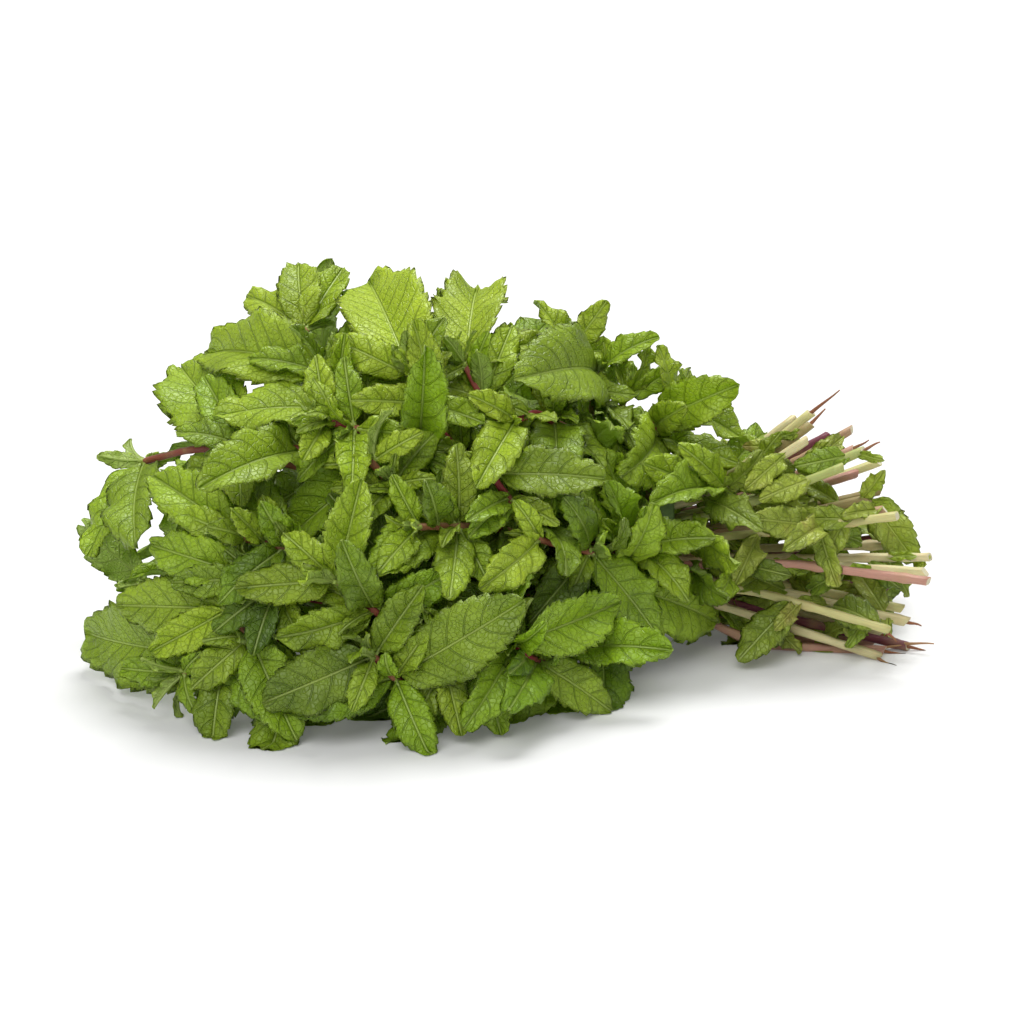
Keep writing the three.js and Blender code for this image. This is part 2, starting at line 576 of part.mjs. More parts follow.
// A leaf that stands out of the stem at an angle round it. Each attempt turns, tips and shortens it further.
function ruledLeaf(root, along, facing, angle, size, key, attempt) {
  const draw = (k) => chance(key * 977 + attempt * 31 + k);
  const out = outOfHeap(root);
  const reference = squareTo(out, along);
  const second = along.clone().cross(reference);
  const turned = angle + RULED_DRIFT.spin * attempt * (draw(1) - 0.5);
  const away = reference.multiplyScalar(Math.cos(turned)).addScaledVector(second, Math.sin(turned));
  const lean = between(...RULED.lean, draw(2));
  const direction = away.multiplyScalar(Math.sin(lean)).addScaledVector(along, Math.cos(lean));
  direction.addScaledVector(out, RULED_DRIFT.outward * draw(3));
  direction.x += RULED_DRIFT.drift * attempt * (draw(4) - 0.5);
  direction.y += RULED_DRIFT.drift * attempt * (draw(5) - 0.5);
  direction.z += RULED_DRIFT.drift * attempt * (draw(6) - 0.5);
  direction.normalize();
  const reach = size * LEAF_LENGTH * between(...RULED_REACH, draw(7)) * (1 - RULED_DRIFT.shorter * attempt);
  const end = direction.multiplyScalar(reach).add(root);
  const depth = heapDepth(end);
  if (depth > HEAP_EDGE) end.sub(HEAP_CENTRE).multiplyScalar(HEAP_EDGE / depth).add(HEAP_CENTRE);
  end.z = Math.max(end.z, LEAF_REST);
  const face = out.clone().add(facing);
  face.x += RULED_DRIFT.turn * (draw(8) - 0.5);
  face.y += RULED_DRIFT.turn * (draw(9) - 0.5);
  const leaf = { root, along: end.sub(root).normalize(), face, ...bladeShape(RULED, (k) => draw(k + 10)) };
  finishLeaf(leaf, reach);
  leaf.width = leaf.length * between(...RULED.width, draw(17));
  leaf.teeth = leaf.length > RULED_LONG_LEAF ? 3 : 2;
  return leaf;
}

const boxesMeet = (a, b, gap) =>
  [0, 1, 2].every((k) => a.min[k] - gap < b.max[k] && b.min[k] - gap < a.max[k]);

// Grows the leaves one by one. A leaf that would cross another is bent clear, or left off where that fails.
class Bunch {
  constructor(stems, band) {
    this.stems = stems;
    this.placed = [{ solid: band, box: band.boundingBox(), sprig: -1, node: "band" }];
    stems.forEach((stem, i) => {
      stem.solid = solidOf(stemGeometry(stem));
      stem.leaves = [];
      this.placed.push({ solid: stem.solid, box: stem.solid.boundingBox(), sprig: i, node: "stem" });
    });
  }

  clear(solid, sprig, node) {
    const box = solid.boundingBox();
    for (const other of this.placed) {
      if (!boxesMeet(box, other.box, LEAF_GAP)) continue;
      if (other.sprig === sprig && (other.node === node || other.node === "stem")) {
        const shared = solid.intersect(other.solid);
        const volume = shared.volume();
        shared.delete();
        if (volume > (other.node === "stem" ? SHARED.stem : SHARED.leaf)) return false;
      } else if (solid.minGap(other.solid, LEAF_GAP) < LEAF_GAP) return false;
    }
    return true;
  }

  grow(sprig, node, make) {
    for (let attempt = 0; attempt < ATTEMPTS; attempt++) {
      const leaf = make(attempt);
      const solid = solidOf(leafGeometry(leaf));
      if (this.clear(solid, sprig, node)) {
        this.placed.push({ solid, box: solid.boundingBox(), sprig, node });
        this.stems[sprig].leaves.push({ leaf, solid });
        return;
      }
      solid.delete();
    }
  }
}

function growBunch() {
  const stems = stemPaths();
  const band = bandGeometry(stems);
  const bunch = new Bunch(stems, solidOf(band));
  stems.forEach((stem, i) => {
    if (!stem.seen) return;
    const nodes = [
      { ends: stem.seen.tipLeaves, lift: LEAF_LIFT.tip },
      { ends: stem.seen.viaLeaves, lift: LEAF_LIFT.via },
    ];
    nodes.forEach((node, n) => {
      node.ends.forEach((pixel, k) => {
        const { point } = onStem(stem, stem.nodes[n]);
        const end = heapPoint(pixel, node.lift, LEAF_REST);
        const key = i * 64 + n * 8 + k;
        const facing = outOfHeap(point.clone().lerp(end, 0.5)).add(toViewer);
        bunch.grow(i, n, (attempt) => aimedLeaf(point, end, facing, key, attempt));
      });
    });
  });
  for (const [k, butt] of BUTT_LEAVES.entries()) {
    const want = planePoint(butt.from, butt.depth * 0.6);
    const end = planePoint(butt.to, butt.depth);
    let best = null;
    stems.forEach((stem, i) => {
      for (const corner of [0, 1, 2])
        for (let step = 1; step < BUTT_STEPS; step++) {
          const { point } = onStem(stem, { corner, share: step / BUTT_STEPS });
          const gap = point.distanceTo(want) + (point.y > want.y ? BUTT_BEHIND : 0);
          if (!best || gap < best.gap) best = { gap, i, point };
        }
    });
    bunch.grow(best.i, "butt" + k, (attempt) => aimedLeaf(best.point, end, toViewer, BUTT_KEY + k, attempt));
  }
  stems.forEach((stem, i) => {
    if (!stem.seen) return;
    const node = stem.nodes[SHOOT_NODE];
    const { point, along } = onStem(stem, node);
    const facing = new THREE.Vector3(0, 0, 0.5).add(toViewer);
    for (const hand of [0, 1]) {
      const angle = chance(i + SEED.shoot) * 2 * Math.PI + hand * Math.PI;
      const key = i * 64 + 24 + hand;
      const make = (attempt) => ruledLeaf(point, along, facing, angle, SHOOT_SIZE, key, attempt);
      bunch.grow(i, SHOOT_NODE, make);
    }
  });
  const mostNodes = Math.max(...stems.map((stem) => stem.nodes.length));
  for (let level = 0; level < mostNodes; level++)
    stems.forEach((stem, i) => {
      const node = stem.nodes[level + (stem.seen ? 2 : 0)];
      if (!node) return;
      const { point, along } = onStem(stem, node);
      const size = stem.seen || level ? 1 : HIDDEN_TIP_SIZE;
      const facing = new THREE.Vector3(0, 0, 0.5);
      if (stem.seen) facing.addScaledVector(toViewer, 0.6);
      for (const hand of [0, 1]) {
        const angle = chance(i + SEED.round) * 6 + level * (Math.PI / 2) + hand * Math.PI;
        const key = i * 64 + 32 + level * 2 + hand;
        bunch.grow(i, 10 + level, (attempt) => ruledLeaf(point, along, facing, angle, size, key, attempt));
      }
    });
  return { stems, band };
}

// Joins a sprig's stem and leaves in one solid, as geometry
function sprigGeometry(stem) {
  let solid = stem.solid;
  for (const { solid: leaf } of stem.leaves) solid = solid.add(leaf);
  const bodies = solid.simplify(SLIVER).decompose();
  solid = bodies.reduce((most, body) => (body.volume() > most.volume() ? body : most));
  const mesh = solid.getMesh();
  const geometry = new THREE.BufferGeometry();
  geometry.setAttribute("position", new THREE.BufferAttribute(new Float32Array(mesh.vertProperties), 3));
  geometry.setIndex(new THREE.BufferAttribute(new Uint32Array(mesh.triVerts), 1));
  return geometry;
}

// A skin colour from green towards yellow-green, for each sprig its own
function sprigMaterial(i) {
  const color = new THREE.Color(0x4f8a2b).lerp(new THREE.Color(0x8fb544), chance(i + SEED.color));
  return new THREE.MeshStandardMaterial({ color, roughness: 0.55, metalness: 0 });
}

const group = new THREE.Group();
const { stems, band } = growBunch();
stems.forEach((stem, i) => {
  const sprig = new THREE.Mesh(sprigGeometry(stem), sprigMaterial(i));
  sprig.name = `sprig_${String(i + 1).padStart(2, "0")}`;
  group.add(sprig);
});
const rubber = new THREE.MeshStandardMaterial({ color: 0x4b6526, roughness: 0.7, metalness: 0 });
const bandMesh = new THREE.Mesh(band, rubber);
bandMesh.name = "band";
group.add(bandMesh);
group.position.set(ORIGIN_SHIFT.x, ORIGIN_SHIFT.y, 0);

export default group;
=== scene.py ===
# A cut bunch of fresh mint on a pale table. Each CAD sprig is replaced by a finer one that keeps its form:
# the same stem and the same leaves, found again by the rules that placed them, with teeth, quilting, veins
# and colour. Small leaves are added where there is room for them.
# Lengths are in millimetres in the bunch's own frame until a mesh is written, which is in metres.
import math
from functools import partial

import bpy
import numpy as np
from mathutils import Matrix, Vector, kdtree
from mathutils.bvhtree import BVHTree


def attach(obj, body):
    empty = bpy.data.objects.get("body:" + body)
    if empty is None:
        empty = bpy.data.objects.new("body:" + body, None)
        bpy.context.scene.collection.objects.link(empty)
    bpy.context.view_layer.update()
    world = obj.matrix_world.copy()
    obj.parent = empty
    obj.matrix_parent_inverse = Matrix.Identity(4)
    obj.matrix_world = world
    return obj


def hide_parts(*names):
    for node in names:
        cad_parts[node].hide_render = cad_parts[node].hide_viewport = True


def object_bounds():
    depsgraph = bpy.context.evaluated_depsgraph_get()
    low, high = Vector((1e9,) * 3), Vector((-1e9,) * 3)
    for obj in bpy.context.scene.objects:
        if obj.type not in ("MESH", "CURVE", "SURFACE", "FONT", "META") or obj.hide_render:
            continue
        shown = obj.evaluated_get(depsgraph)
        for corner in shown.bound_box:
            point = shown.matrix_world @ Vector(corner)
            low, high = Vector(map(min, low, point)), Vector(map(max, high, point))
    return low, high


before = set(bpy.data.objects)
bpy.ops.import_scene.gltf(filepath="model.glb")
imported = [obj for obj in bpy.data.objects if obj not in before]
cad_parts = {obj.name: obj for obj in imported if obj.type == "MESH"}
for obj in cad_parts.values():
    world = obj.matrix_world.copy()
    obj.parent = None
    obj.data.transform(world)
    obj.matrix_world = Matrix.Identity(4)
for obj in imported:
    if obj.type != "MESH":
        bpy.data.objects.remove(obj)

cad_low, cad_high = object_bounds()

# Driving dimensions of the bunch
HEAP_CENTRE = np.array([-42.0, 0.0, 0.0])
HEAP_RADII = np.array([96.0, 92.0, 112.0])
BAND_X = 46
BAND_Z = 32
SLOT_SPACING = 5.0
SLOT_RINGS = 3
CUT_LENGTH = (78, 92)
TOP_CUT_SHORTER = 0.34
FAN = {"out": 0.26, "up": 0.66, "lift": 0.02}
BAND_MARGIN = 12
BAND_CORNER = 2
TABLE_CLEARANCE = 1.3
ORIGIN_SHIFT = np.array([2.677, -1.236, 0.0])

# Driving dimensions of a sprig
TIP_WIDTH = 1.9
STEM_GAP = 4.9
GAP_SAMPLES = 8
GAP_ROUNDS = 40
TIP_INSET = 1.6
INTERNODE = 22
LEAF_LENGTH = 47
LEAF_REST = -2
PETIOLE_LENGTH = 4.5
BLADE_THICKNESS = 1.25
TOOTH_DEPTH = 0.13
HEAP_EDGE = 1.03
ATTEMPTS = 26
SPRIG_KEYS = 64
KIND_KEYS = 8
SHOOT_KEY = 24
RULED_KEY = 32
BUTT_KEY = 5000
BUTT_STEPS = 20
BUTT_BEHIND = 4
LONG_LEAF = 38
MIDDLE_LEAF = 18
RULED_LONG_LEAF = 36
HIDDEN_TIP_SIZE = 0.7
VIA_LIFT = -3
NEAREST_VIA = 30
LEAF_LIFT = {"tip": 7, "via": 5}
SHOOT_NODE = 1
SHOOT_SIZE = 0.62
CURVE_SAMPLES = 48

# Where the reference view is taken from
VIEW = {
    "target": np.array([0.0, 0.0, 44.0]), "distance": 800, "elevation": 17,
    "pixels": 1024, "lens": 85, "sensor": 36,
}
PER_PIXEL = VIEW["sensor"] / VIEW["lens"] / VIEW["pixels"]

# Sprigs that show in the reference view, in pixels: the tip, the ends of the leaves at the tip, a point that
# the stem passes on its way there, and the ends of the leaves at that point
SEEN_SPRIGS = [
    ((371, 652), [(262, 703), (352, 712), (424, 585)], (394, 680), [(432, 762), (543, 594)]),
    ((334, 577), [(283, 532), (234, 588), (362, 478)], (374, 614), [(268, 645), (455, 570)]),
    ((536, 538), [(514, 500), (480, 590)], (592, 556), [(658, 636), (574, 490)]),
    ((512, 640), [(622, 602), (462, 728)], (538, 668), [(528, 706), (610, 712)]),
    ((634, 592), [(738, 603), (600, 668)], (622, 560), [(734, 552), (656, 700)]),
    ((676, 402), [(752, 446), (656, 346)], (640, 436), [(746, 466), (622, 478)]),
    ((514, 421), [(468, 394), (476, 488)], (556, 411), [(604, 470), (556, 486)]),
    ((598, 368), [(660, 338), (512, 382)], (590, 402), [(636, 452), (548, 340)]),
    ((414, 527), [(392, 474), (378, 574)], (460, 526), [(496, 590), (456, 444)]),
    ((490, 470), [(532, 420), (452, 496), (602, 492)], (508, 500), [(470, 536), (560, 530)]),
    ((322, 420), [(294, 424), (302, 462), (316, 356)], (355, 428), [(408, 434), (352, 492)]),
    ((142, 462), [(92, 560), (134, 548)], (238, 442), [(182, 372), (240, 506)]),
    ((236, 536), [(152, 476), (180, 512)], (284, 548), [(296, 612), (262, 494)]),
    ((246, 574), [(150, 546), (156, 584)], (276, 588), [(214, 632), (324, 668)]),
    ((228, 604), [(150, 652), (120, 604)], (246, 640), [(298, 742), (190, 690)]),
    ((180, 674), [(120, 668), (196, 716), (208, 650)], (226, 656), [(270, 722), (84, 632)]),
    ((304, 328), [(246, 296), (298, 262), (344, 268)], (322, 372), [(202, 352), (356, 340)]),
    ((410, 372), [(332, 338), (368, 280), (452, 352)], (424, 404), [(350, 400), (486, 424)]),
    ((464, 362), [(541, 344), (406, 402), (478, 284)], (482, 398), [(438, 434), (536, 414)]),
    ((368, 458), [(424, 432), (306, 470), (352, 412)], (392, 486), [(354, 530), (436, 478)]),
    ((568, 350), [(607, 300), (534, 300), (640, 352)], (556, 386), [(502, 330), (636, 398)]),
    ((440, 668), [(388, 742), (462, 738)], (474, 640), [(420, 610), (520, 700)]),
    ((700, 470), [(772, 462), (740, 520)], (660, 500), [(716, 560), (690, 420)]),
    ((696, 612), [(742, 662), (664, 680)], (676, 580), [(730, 628), (628, 690)]),
    ((628, 392), [(684, 370), (646, 336)], (614, 428), [(690, 440), (580, 380)]),
]

# Sprigs on the far side and under the heap, in degrees: headings from +X towards +Y, and their height
HIDDEN_RINGS = [
    {"height": 9, "headings": [34, 64, 92, 120, 148, 172]},
    {"height": 38, "headings": [48, 84, 120, 152]},
    {"height": 64, "headings": [55, 130]},
]
HIDDEN_DEPTH = 0.88

# Leaves left on the cut stems and at the band: where each starts and ends, in pixels, and how far behind
# y = 0 it ends
BUTT_LEAVES = [
    ((792, 454), (744, 490), -20), ((850, 442), (795, 468), -12), ((844, 442), (884, 460), -18),
    ((892, 484), (838, 516), -28), ((822, 482), (758, 500), -22), ((815, 506), (750, 518), -26),
    ((820, 542), (772, 560), -16), ((826, 546), (842, 602), -30), ((880, 540), (858, 568), -22),
    ((884, 528), (914, 556), -14), ((888, 566), (910, 602), -12), ((782, 586), (738, 662), -32),
    ((772, 622), (802, 652), -18), ((832, 592), (790, 600), -20), ((868, 612), (846, 648), -26),
    ((876, 600), (886, 636), -30), ((760, 548), (736, 592), -24), ((768, 424), (742, 446), -4),
    ((806, 430), (776, 436), -6), ((700, 500), (762, 532), -34), ((690, 520), (744, 562), -40),
    ((724, 470), (792, 480), -26), ((704, 440), (766, 450), -16), ((735, 545), (776, 522), -30),
    ((730, 556), (716, 604), -40), ((692, 560), (738, 600), -44), ((742, 568), (792, 576), -30),
    ((734, 432), (790, 424), -4), ((690, 414), (740, 384), -4), ((690, 600), (736, 644), -44),
    ((800, 474), (832, 440), -10), ((856, 492), (884, 470), -10), ((862, 572), (902, 590), -16),
    ((804, 600), (764, 640), -30), ((852, 520), (820, 562), -24),
]

# Small leaves added between the heap and the cut stems, told in the same way
WAIST_LEAVES = [
    ((628, 470), (708, 484), -35), ((640, 515), (716, 538), -38), ((622, 556), (702, 588), -42),
    ((642, 530), (690, 606), -44), ((640, 436), (706, 452), -30), ((706, 476), (640, 504), -38),
    ((712, 520), (648, 546), -40), ((706, 552), (650, 582), -42), ((690, 430), (640, 462), -26),
    ((640, 492), (700, 512), -33), ((700, 500), (662, 470), -33), ((630, 500), (690, 530), -36),
    ((630, 520), (682, 494), -48), ((702, 492), (644, 508), -46), ((652, 478), (668, 532), -47),
    ((716, 470), (676, 440), -20), ((650, 440), (690, 412), -12), ((700, 560), (676, 620), -46),
]

# Other added leaves: the rows of buds at a tip from the lowest up, then how far leaves reach, how many are
# tried and how often, and where the whole numbers start that their draws and their order are told apart by
BUD_LEAN = (1.05, 0.75, 0.4)
BUD_REACH = (17, 13, 10)
SHOOT_REACH = (15, 23)
BUTT_REACH = (17, 31)
HEAP_REACH = (22, 42)
BUTT_FILL = 150
HEAP_FILL = 330
FILL_TRIES = 6
LOOSE_TRIES = 8
LISTED_TRIES = 12
ADDED_ORDER = 1000
SHOOT_SEED = 3000
BUTT_SEED = 7000
HEAP_SEED = 8000
WAIST_SEED = 9900

# A CAD leaf's corners are found again this close, and its fine blade starts this far from the stem
MATCH = 0.12
STALK = 1.9

# Fine leaves
BLADE = {"thickness": 0.34, "rib": 0.5, "channel": 0.4, "petiole": (0.95, 0.7)}
LONG_BLADE = 28
FULL_RELIEF = 36
COLUMNS = np.array([0.0, 0.10, 0.30, 0.55, 0.80, 1.0])
FEW_COLUMNS = np.array([0.0, 0.13, 0.42, 0.76, 1.0])
TOOTH_PITCH = 4.0
TOOTH_RISE = 0.05
QUILT = 1.35
RUFFLE = 1.6
FOLD = 0.22
CURL = 0.12
VEIN_PITCHES = ((26, 6.0), (14, 4.4), (0, 2.8))
VEIN_SWEEP = 0.2

# Fine stems
STEM = {"turn": 3.5, "pieces": 4, "round": 0.3, "hollow": 0.06, "knot": 0.24, "knot_length": 2.2, "step": 3.2}
CUT_WIDTH = 2.6
CUT_SLANT = 1.4
CUT_KINDS = [
    (0.80, 0.78, 0.52),
    (0.71, 0.58, 0.45),
    (0.44, 0.23, 0.22),
    (0.68, 0.72, 0.42),
    (0.74, 0.55, 0.48),
    (0.46, 0.22, 0.28),
    (0.84, 0.80, 0.60),
    (0.62, 0.56, 0.36),
]
YOUNG_STEM = {"green": np.array([0.44, 0.44, 0.16]), "red": np.array([0.60, 0.17, 0.22])}
KNOT_RINGS = (-2.4, -1.2, 0, 1.2, 2.4)
TWIG_LOOKS = [(0.56, 0.36, 0.24), (0.66, 0.50, 0.34), (0.46, 0.26, 0.20)]
TWIG_WIDTH = 1.5

# Colours of the materials, and half of the floor's width in metres
LEAF_COLORS = {
    # deep: the darkest leaf green, also the painted shade laid on the vein lines
    "deep_and_groove_shade": (0.040, 0.115, 0.002),
    "fresh": (0.270, 0.480, 0.010),
    # young: the light green of young leaves, also the painted top light on the leaves that stand highest
    "young": (0.660, 0.820, 0.050),
    "rib": (0.560, 0.690, 0.190),
    "under": (0.500, 0.640, 0.190),
    "wilted": (0.640, 0.640, 0.130),
    "spent": (0.330, 0.220, 0.070),
    "glow": (0.600, 0.800, 0.014),
}
STEM_COLORS = {
    "streak": (0.20, 0.095, 0.05),
    "patch": (0.42, 0.44, 0.15),
    "knot": (0.44, 0.30, 0.14),
    "pith": (0.66, 0.62, 0.42),
}
BAND_COLORS = ((0.060, 0.110, 0.016), (0.085, 0.150, 0.022))
FLOOR = 9.0

TILT = math.radians(VIEW["elevation"])
TO_VIEWER = np.array([0.0, -math.cos(TILT), math.sin(TILT)])
UP = np.array([0.0, 0.0, 1.0])


def chance(n):
    """A repeatable number from 0 to 1 for each whole number."""
    s = math.sin(n * 12.9898) * 43758.5453
    return s - math.floor(s)


def between(low, high, share):
    return low + (high - low) * share


def unit(v):
    return v / math.sqrt(v @ v)


def square_to(v, axis):
    return unit(v - axis * (v @ axis))


def length_of(v):
    return math.sqrt(v @ v)


def heap_point(pixel, lift=0, lowest=TABLE_CLEARANCE):
    """The point of the heap under a pixel of the reference view, on the heap's skin grown by lift."""
    ahead = np.array([0.0, math.cos(TILT), -math.sin(TILT)])
    up = np.array([0.0, math.sin(TILT), math.cos(TILT)])
    ray = ahead + up * ((VIEW["pixels"] / 2 - pixel[1]) * PER_PIXEL)
    ray[0] += (pixel[0] - VIEW["pixels"] / 2) * PER_PIXEL
    radii = HEAP_RADII + lift
    eye = VIEW["target"] - ahead * VIEW["distance"]
    start = (eye - HEAP_CENTRE) / radii
    step = ray / radii
    nearest = -(start @ step) / (step @ step)
    inside = nearest * nearest - (start @ start - 1) / (step @ step)
    far = nearest - math.sqrt(max(inside, 0))
    table = (lowest - eye[2]) / ray[2]
    return eye + ray * (min(far, table) if ray[2] < 0 else far)


def plane_point(pixel, depth):
    """The point under a pixel on the upright plane y = depth."""
    rise = (VIEW["pixels"] / 2 - pixel[1]) * PER_PIXEL
    ray = np.array([
        (pixel[0] - VIEW["pixels"] / 2) * PER_PIXEL,
        math.cos(TILT) + rise * math.sin(TILT),
        -math.sin(TILT) + rise * math.cos(TILT),
    ])
    eye = TO_VIEWER * VIEW["distance"] + VIEW["target"]
    point = eye + ray * ((depth - eye[1]) / ray[1])
    point[2] = max(point[2], TABLE_CLEARANCE)
    return point


def out_of_heap(p):
    return unit((p - HEAP_CENTRE) / HEAP_RADII / HEAP_RADII)


def heap_depth(p):
    return length_of((p - HEAP_CENTRE) / HEAP_RADII)


def smooth_path(points):
    """A smooth line through points, as samples with the length run so far."""
    gaps = [length_of(q - p) for p, q in zip(points, points[1:])]
    slopes = [(q - p) / gap for p, q, gap in zip(points, points[1:], gaps)]
    tangents = [slopes[0]]
    for i in range(1, len(gaps)):
        tangents.append((slopes[i - 1] * gaps[i] + slopes[i] * gaps[i - 1]) / (gaps[i - 1] + gaps[i]))
    tangents.append(slopes[-1])
    samples = []
    for i, gap in enumerate(gaps):
        for k in range(0 if i == 0 else 1, CURVE_SAMPLES + 1):
            t = k / CURVE_SAMPLES
            point = points[i] * ((1 + 2 * t) * (1 - t) ** 2)
            point = point + tangents[i] * (gap * t * (1 - t) ** 2)
            point = point + points[i + 1] * (t * t * (3 - 2 * t))
            point = point + tangents[i + 1] * (gap * t * t * (t - 1))
            point[2] = max(point[2], TABLE_CLEARANCE)
            samples.append(point)
    run = [0.0]
    for p, q in zip(samples, samples[1:]):
        run.append(run[-1] + length_of(q - p))
    return samples, run


def on_path(samples, run, at):
    i = 1
    while i < len(run) - 1 and run[i] < at:
        i += 1
    share = (at - run[i - 1]) / (run[i] - run[i - 1])
    return samples[i - 1] + (samples[i] - samples[i - 1]) * share


def band_slots():
    """Places for the stems in the band, in a close hexagon."""
    rings = range(-SLOT_RINGS, SLOT_RINGS + 1)
    return [
        np.array([(a + b / 2) * SLOT_SPACING, b * math.sqrt(3) * SLOT_SPACING / 2])
        for a in rings for b in rings if abs(a + b) <= SLOT_RINGS
    ]


def stem_paths():
    """The stems: tip and stem point of each sprig, then its place in the band and its cut end."""
    stems = []
    for tip, tip_leaves, via, via_leaves in SEEN_SPRIGS:
        ends = {"tip": tip_leaves, "via": via_leaves}
        stems.append({"seen": ends, "tip": heap_point(tip), "via": heap_point(via, VIA_LIFT)})
    for ring in HIDDEN_RINGS:
        for heading in ring["headings"]:
            turn, rise = math.radians(heading), math.radians(ring["height"])
            tip = np.array([math.cos(turn) * math.cos(rise), math.sin(turn) * math.cos(rise), math.sin(rise)])
            tip = tip * HEAP_RADII * HIDDEN_DEPTH + HEAP_CENTRE
            via = tip - unit(tip - np.array([BAND_X, 0.0, BAND_Z])) * INTERNODE
            stems.append({"seen": None, "tip": tip, "via": via - out_of_heap(tip) * INTERNODE / 4})
    free = band_slots()
    wishes = []
    for stem in stems:
        away = max(BAND_X - stem["via"][0], NEAREST_VIA)
        wish = np.array([stem["via"][1] / away, (stem["via"][2] - BAND_Z) / away])
        wishes.append(wish * SLOT_SPACING * SLOT_RINGS)
    for i in sorted(range(len(stems)), key=lambda i: -length_of(wishes[i])):
        slot = free.pop(min(range(len(free)), key=lambda k: length_of(free[k] - wishes[i])))
        band = np.array([BAND_X, slot[0], BAND_Z + slot[1]])
        turn = np.array([1.0, FAN["out"] * slot[0] / SLOT_SPACING / SLOT_RINGS, 0.0])
        turn[2] = FAN["lift"] + FAN["up"] * slot[1] / SLOT_SPACING / SLOT_RINGS
        turn[1] += 0.05 * (chance(i + 11) - 0.5)
        turn[2] += 0.06 * (chance(i + 57) - 0.5)
        turn = unit(turn)
        shorter = TOP_CUT_SHORTER * max(slot[1], 0) / SLOT_SPACING / SLOT_RINGS
        cut = band + turn * (between(CUT_LENGTH[0], CUT_LENGTH[1], chance(i + 91)) * (1 - shorter))
        onward = stems[i]["via"] - band
        step = min(INTERNODE / 2, length_of(onward) / 4)
        beyond = band + unit(unit(onward) - turn) * step
        set_corners(stems[i], *smooth_path([cut, band, beyond, stems[i]["via"], stems[i]["tip"]]))
    part_stems(stems)
    return stems


def set_corners(stem, samples, run):
    """A stem is straight between its corners; its nodes, where leaves grow, are listed from the tip back."""
    band_at = run[CURVE_SAMPLES]
    nodes = [run[-1] - TIP_INSET]
    if stem["seen"]:
        nodes.append(run[-1] - length_of(stem["tip"] - stem["via"]))
    while nodes[-1] - INTERNODE > band_at + BAND_MARGIN:
        nodes.append(nodes[-1] - INTERNODE)
    halfways = [(a + b) / 2 for a, b in zip(nodes, nodes[1:])]
    corners = [0, band_at / 2, band_at, *reversed(halfways), run[-1]]
    stem["corners"] = np.array([on_path(samples, run, at) for at in corners])
    stem["nodes"] = []
    for i, at in enumerate(nodes):
        corner = len(corners) - 2 - i
        stem["nodes"].append((corner, (at - corners[corner]) / (corners[corner + 1] - corners[corner])))


def on_stem(stem, corner, share):
    start, end = stem["corners"][corner], stem["corners"][corner + 1]
    return start + (end - start) * share, unit(end - start)


def part_stems(stems):
    """Bends stems apart, a little at a time, until no two are closer than the gap."""
    shares = np.arange(GAP_SAMPLES) / GAP_SAMPLES

    def samples(stem):
        c = stem["corners"]
        return (c[:-1, None, :] + (c[1:] - c[:-1])[:, None, :] * shares[None, :, None]).reshape(-1, 3)

    def bend(stem, at, push):
        c = stem["corners"]
        c += push[None, :] * np.exp(-((np.arange(len(c)) - at / GAP_SAMPLES) ** 2))[:, None]
        c[:, 2] = np.maximum(c[:, 2], TABLE_CLEARANCE)
        c[BAND_CORNER, 0] = BAND_X

    rows = [samples(stem) for stem in stems]
    for _ in range(GAP_ROUNDS):
        for i in range(len(stems)):
            for j in range(i + 1, len(stems)):
                a, b = rows[i], rows[j]
                if (a.min(0) - STEM_GAP > b.max(0)).any() or (b.min(0) - STEM_GAP > a.max(0)).any():
                    continue
                apart = a[:, None, :] - b[None, :, :]
                gaps = np.sqrt(np.einsum("ijk,ijk->ij", apart, apart))
                m, n = divmod(int(gaps.argmin()), len(b))
                if gaps[m, n] >= STEM_GAP:
                    continue
                push = unit(apart[m, n]) * ((STEM_GAP - gaps[m, n]) / 2)
                bend(stems[i], m, push)
                bend(stems[j], n, -push)
                rows[i], rows[j] = samples(stems[i]), samples(stems[j])


def outline(u):
    """Half of the blade's width along its length, as a share of the widest."""
    return 2.357 * u ** 0.55 * (1 - u) ** 0.7


def blade_points(leaf, u, v, lift, profile=None):
    """Points of a blade: u runs along the rib from 0 to 1, and v across from -1 to 1."""
    u, v, lift = np.broadcast_arrays(np.asarray(u, float), np.asarray(v, float), np.asarray(lift, float))
    half_bend = leaf["bend"] / 2
    bow = leaf["bend"] * (u - 0.5)
    size = leaf["length"] / leaf["bend"]
    along, face = leaf["along"], leaf["face"]
    rib = leaf["start"] + along * (size * (np.sin(bow) + math.sin(half_bend)))[..., None]
    rib = rib + face * (size * (np.cos(bow) - math.cos(half_bend)))[..., None]
    forward = along * np.cos(bow)[..., None] - face * np.sin(bow)[..., None]
    flat = along * np.sin(bow)[..., None] + face * np.cos(bow)[..., None]
    side = np.cross(forward, flat)
    turn = leaf["twist"] * (u - 0.5)
    across = side * np.cos(turn)[..., None] + flat * np.sin(turn)[..., None]
    normal = flat * np.cos(turn)[..., None] - side * np.sin(turn)[..., None]
    half = 0.5 * leaf["width"] * (outline(u) if profile is None else profile)
    phase = np.where(v > 0, leaf["phase"], 1 - leaf["phase"])
    wave = leaf["wave"] * np.sin(2 * math.pi * (leaf["waves"] * u + phase))
    rise = half * np.abs(v) * math.sin(leaf["fold"]) - half * leaf["droop"] * v * v + wave * v * v + lift
    return rib + across * (half * v * math.cos(leaf["fold"]))[..., None] + normal * rise[..., None]


def draws(seed):
    """Repeatable draws from 0 to 1, told apart by a whole number."""
    return lambda k: chance(seed + k)


def form(draw, first, bend, fold, droop=0.35, twist=0.5, wave=(0.4, 1.5), waves=2.4):
    """How a blade bends, folds and waves, from the first draw on."""
    return {
        "bend": between(*bend, draw(first)),
        "fold": between(*fold, draw(first + 1)),
        "droop": between(0.0, droop, draw(first + 2)),
        "twist": between(-twist, twist, draw(first + 3)),
        "wave": between(*wave, draw(first + 4)),
        "waves": between(1.4, waves, draw(first + 5)),
        "phase": draw(first + 6),
    }


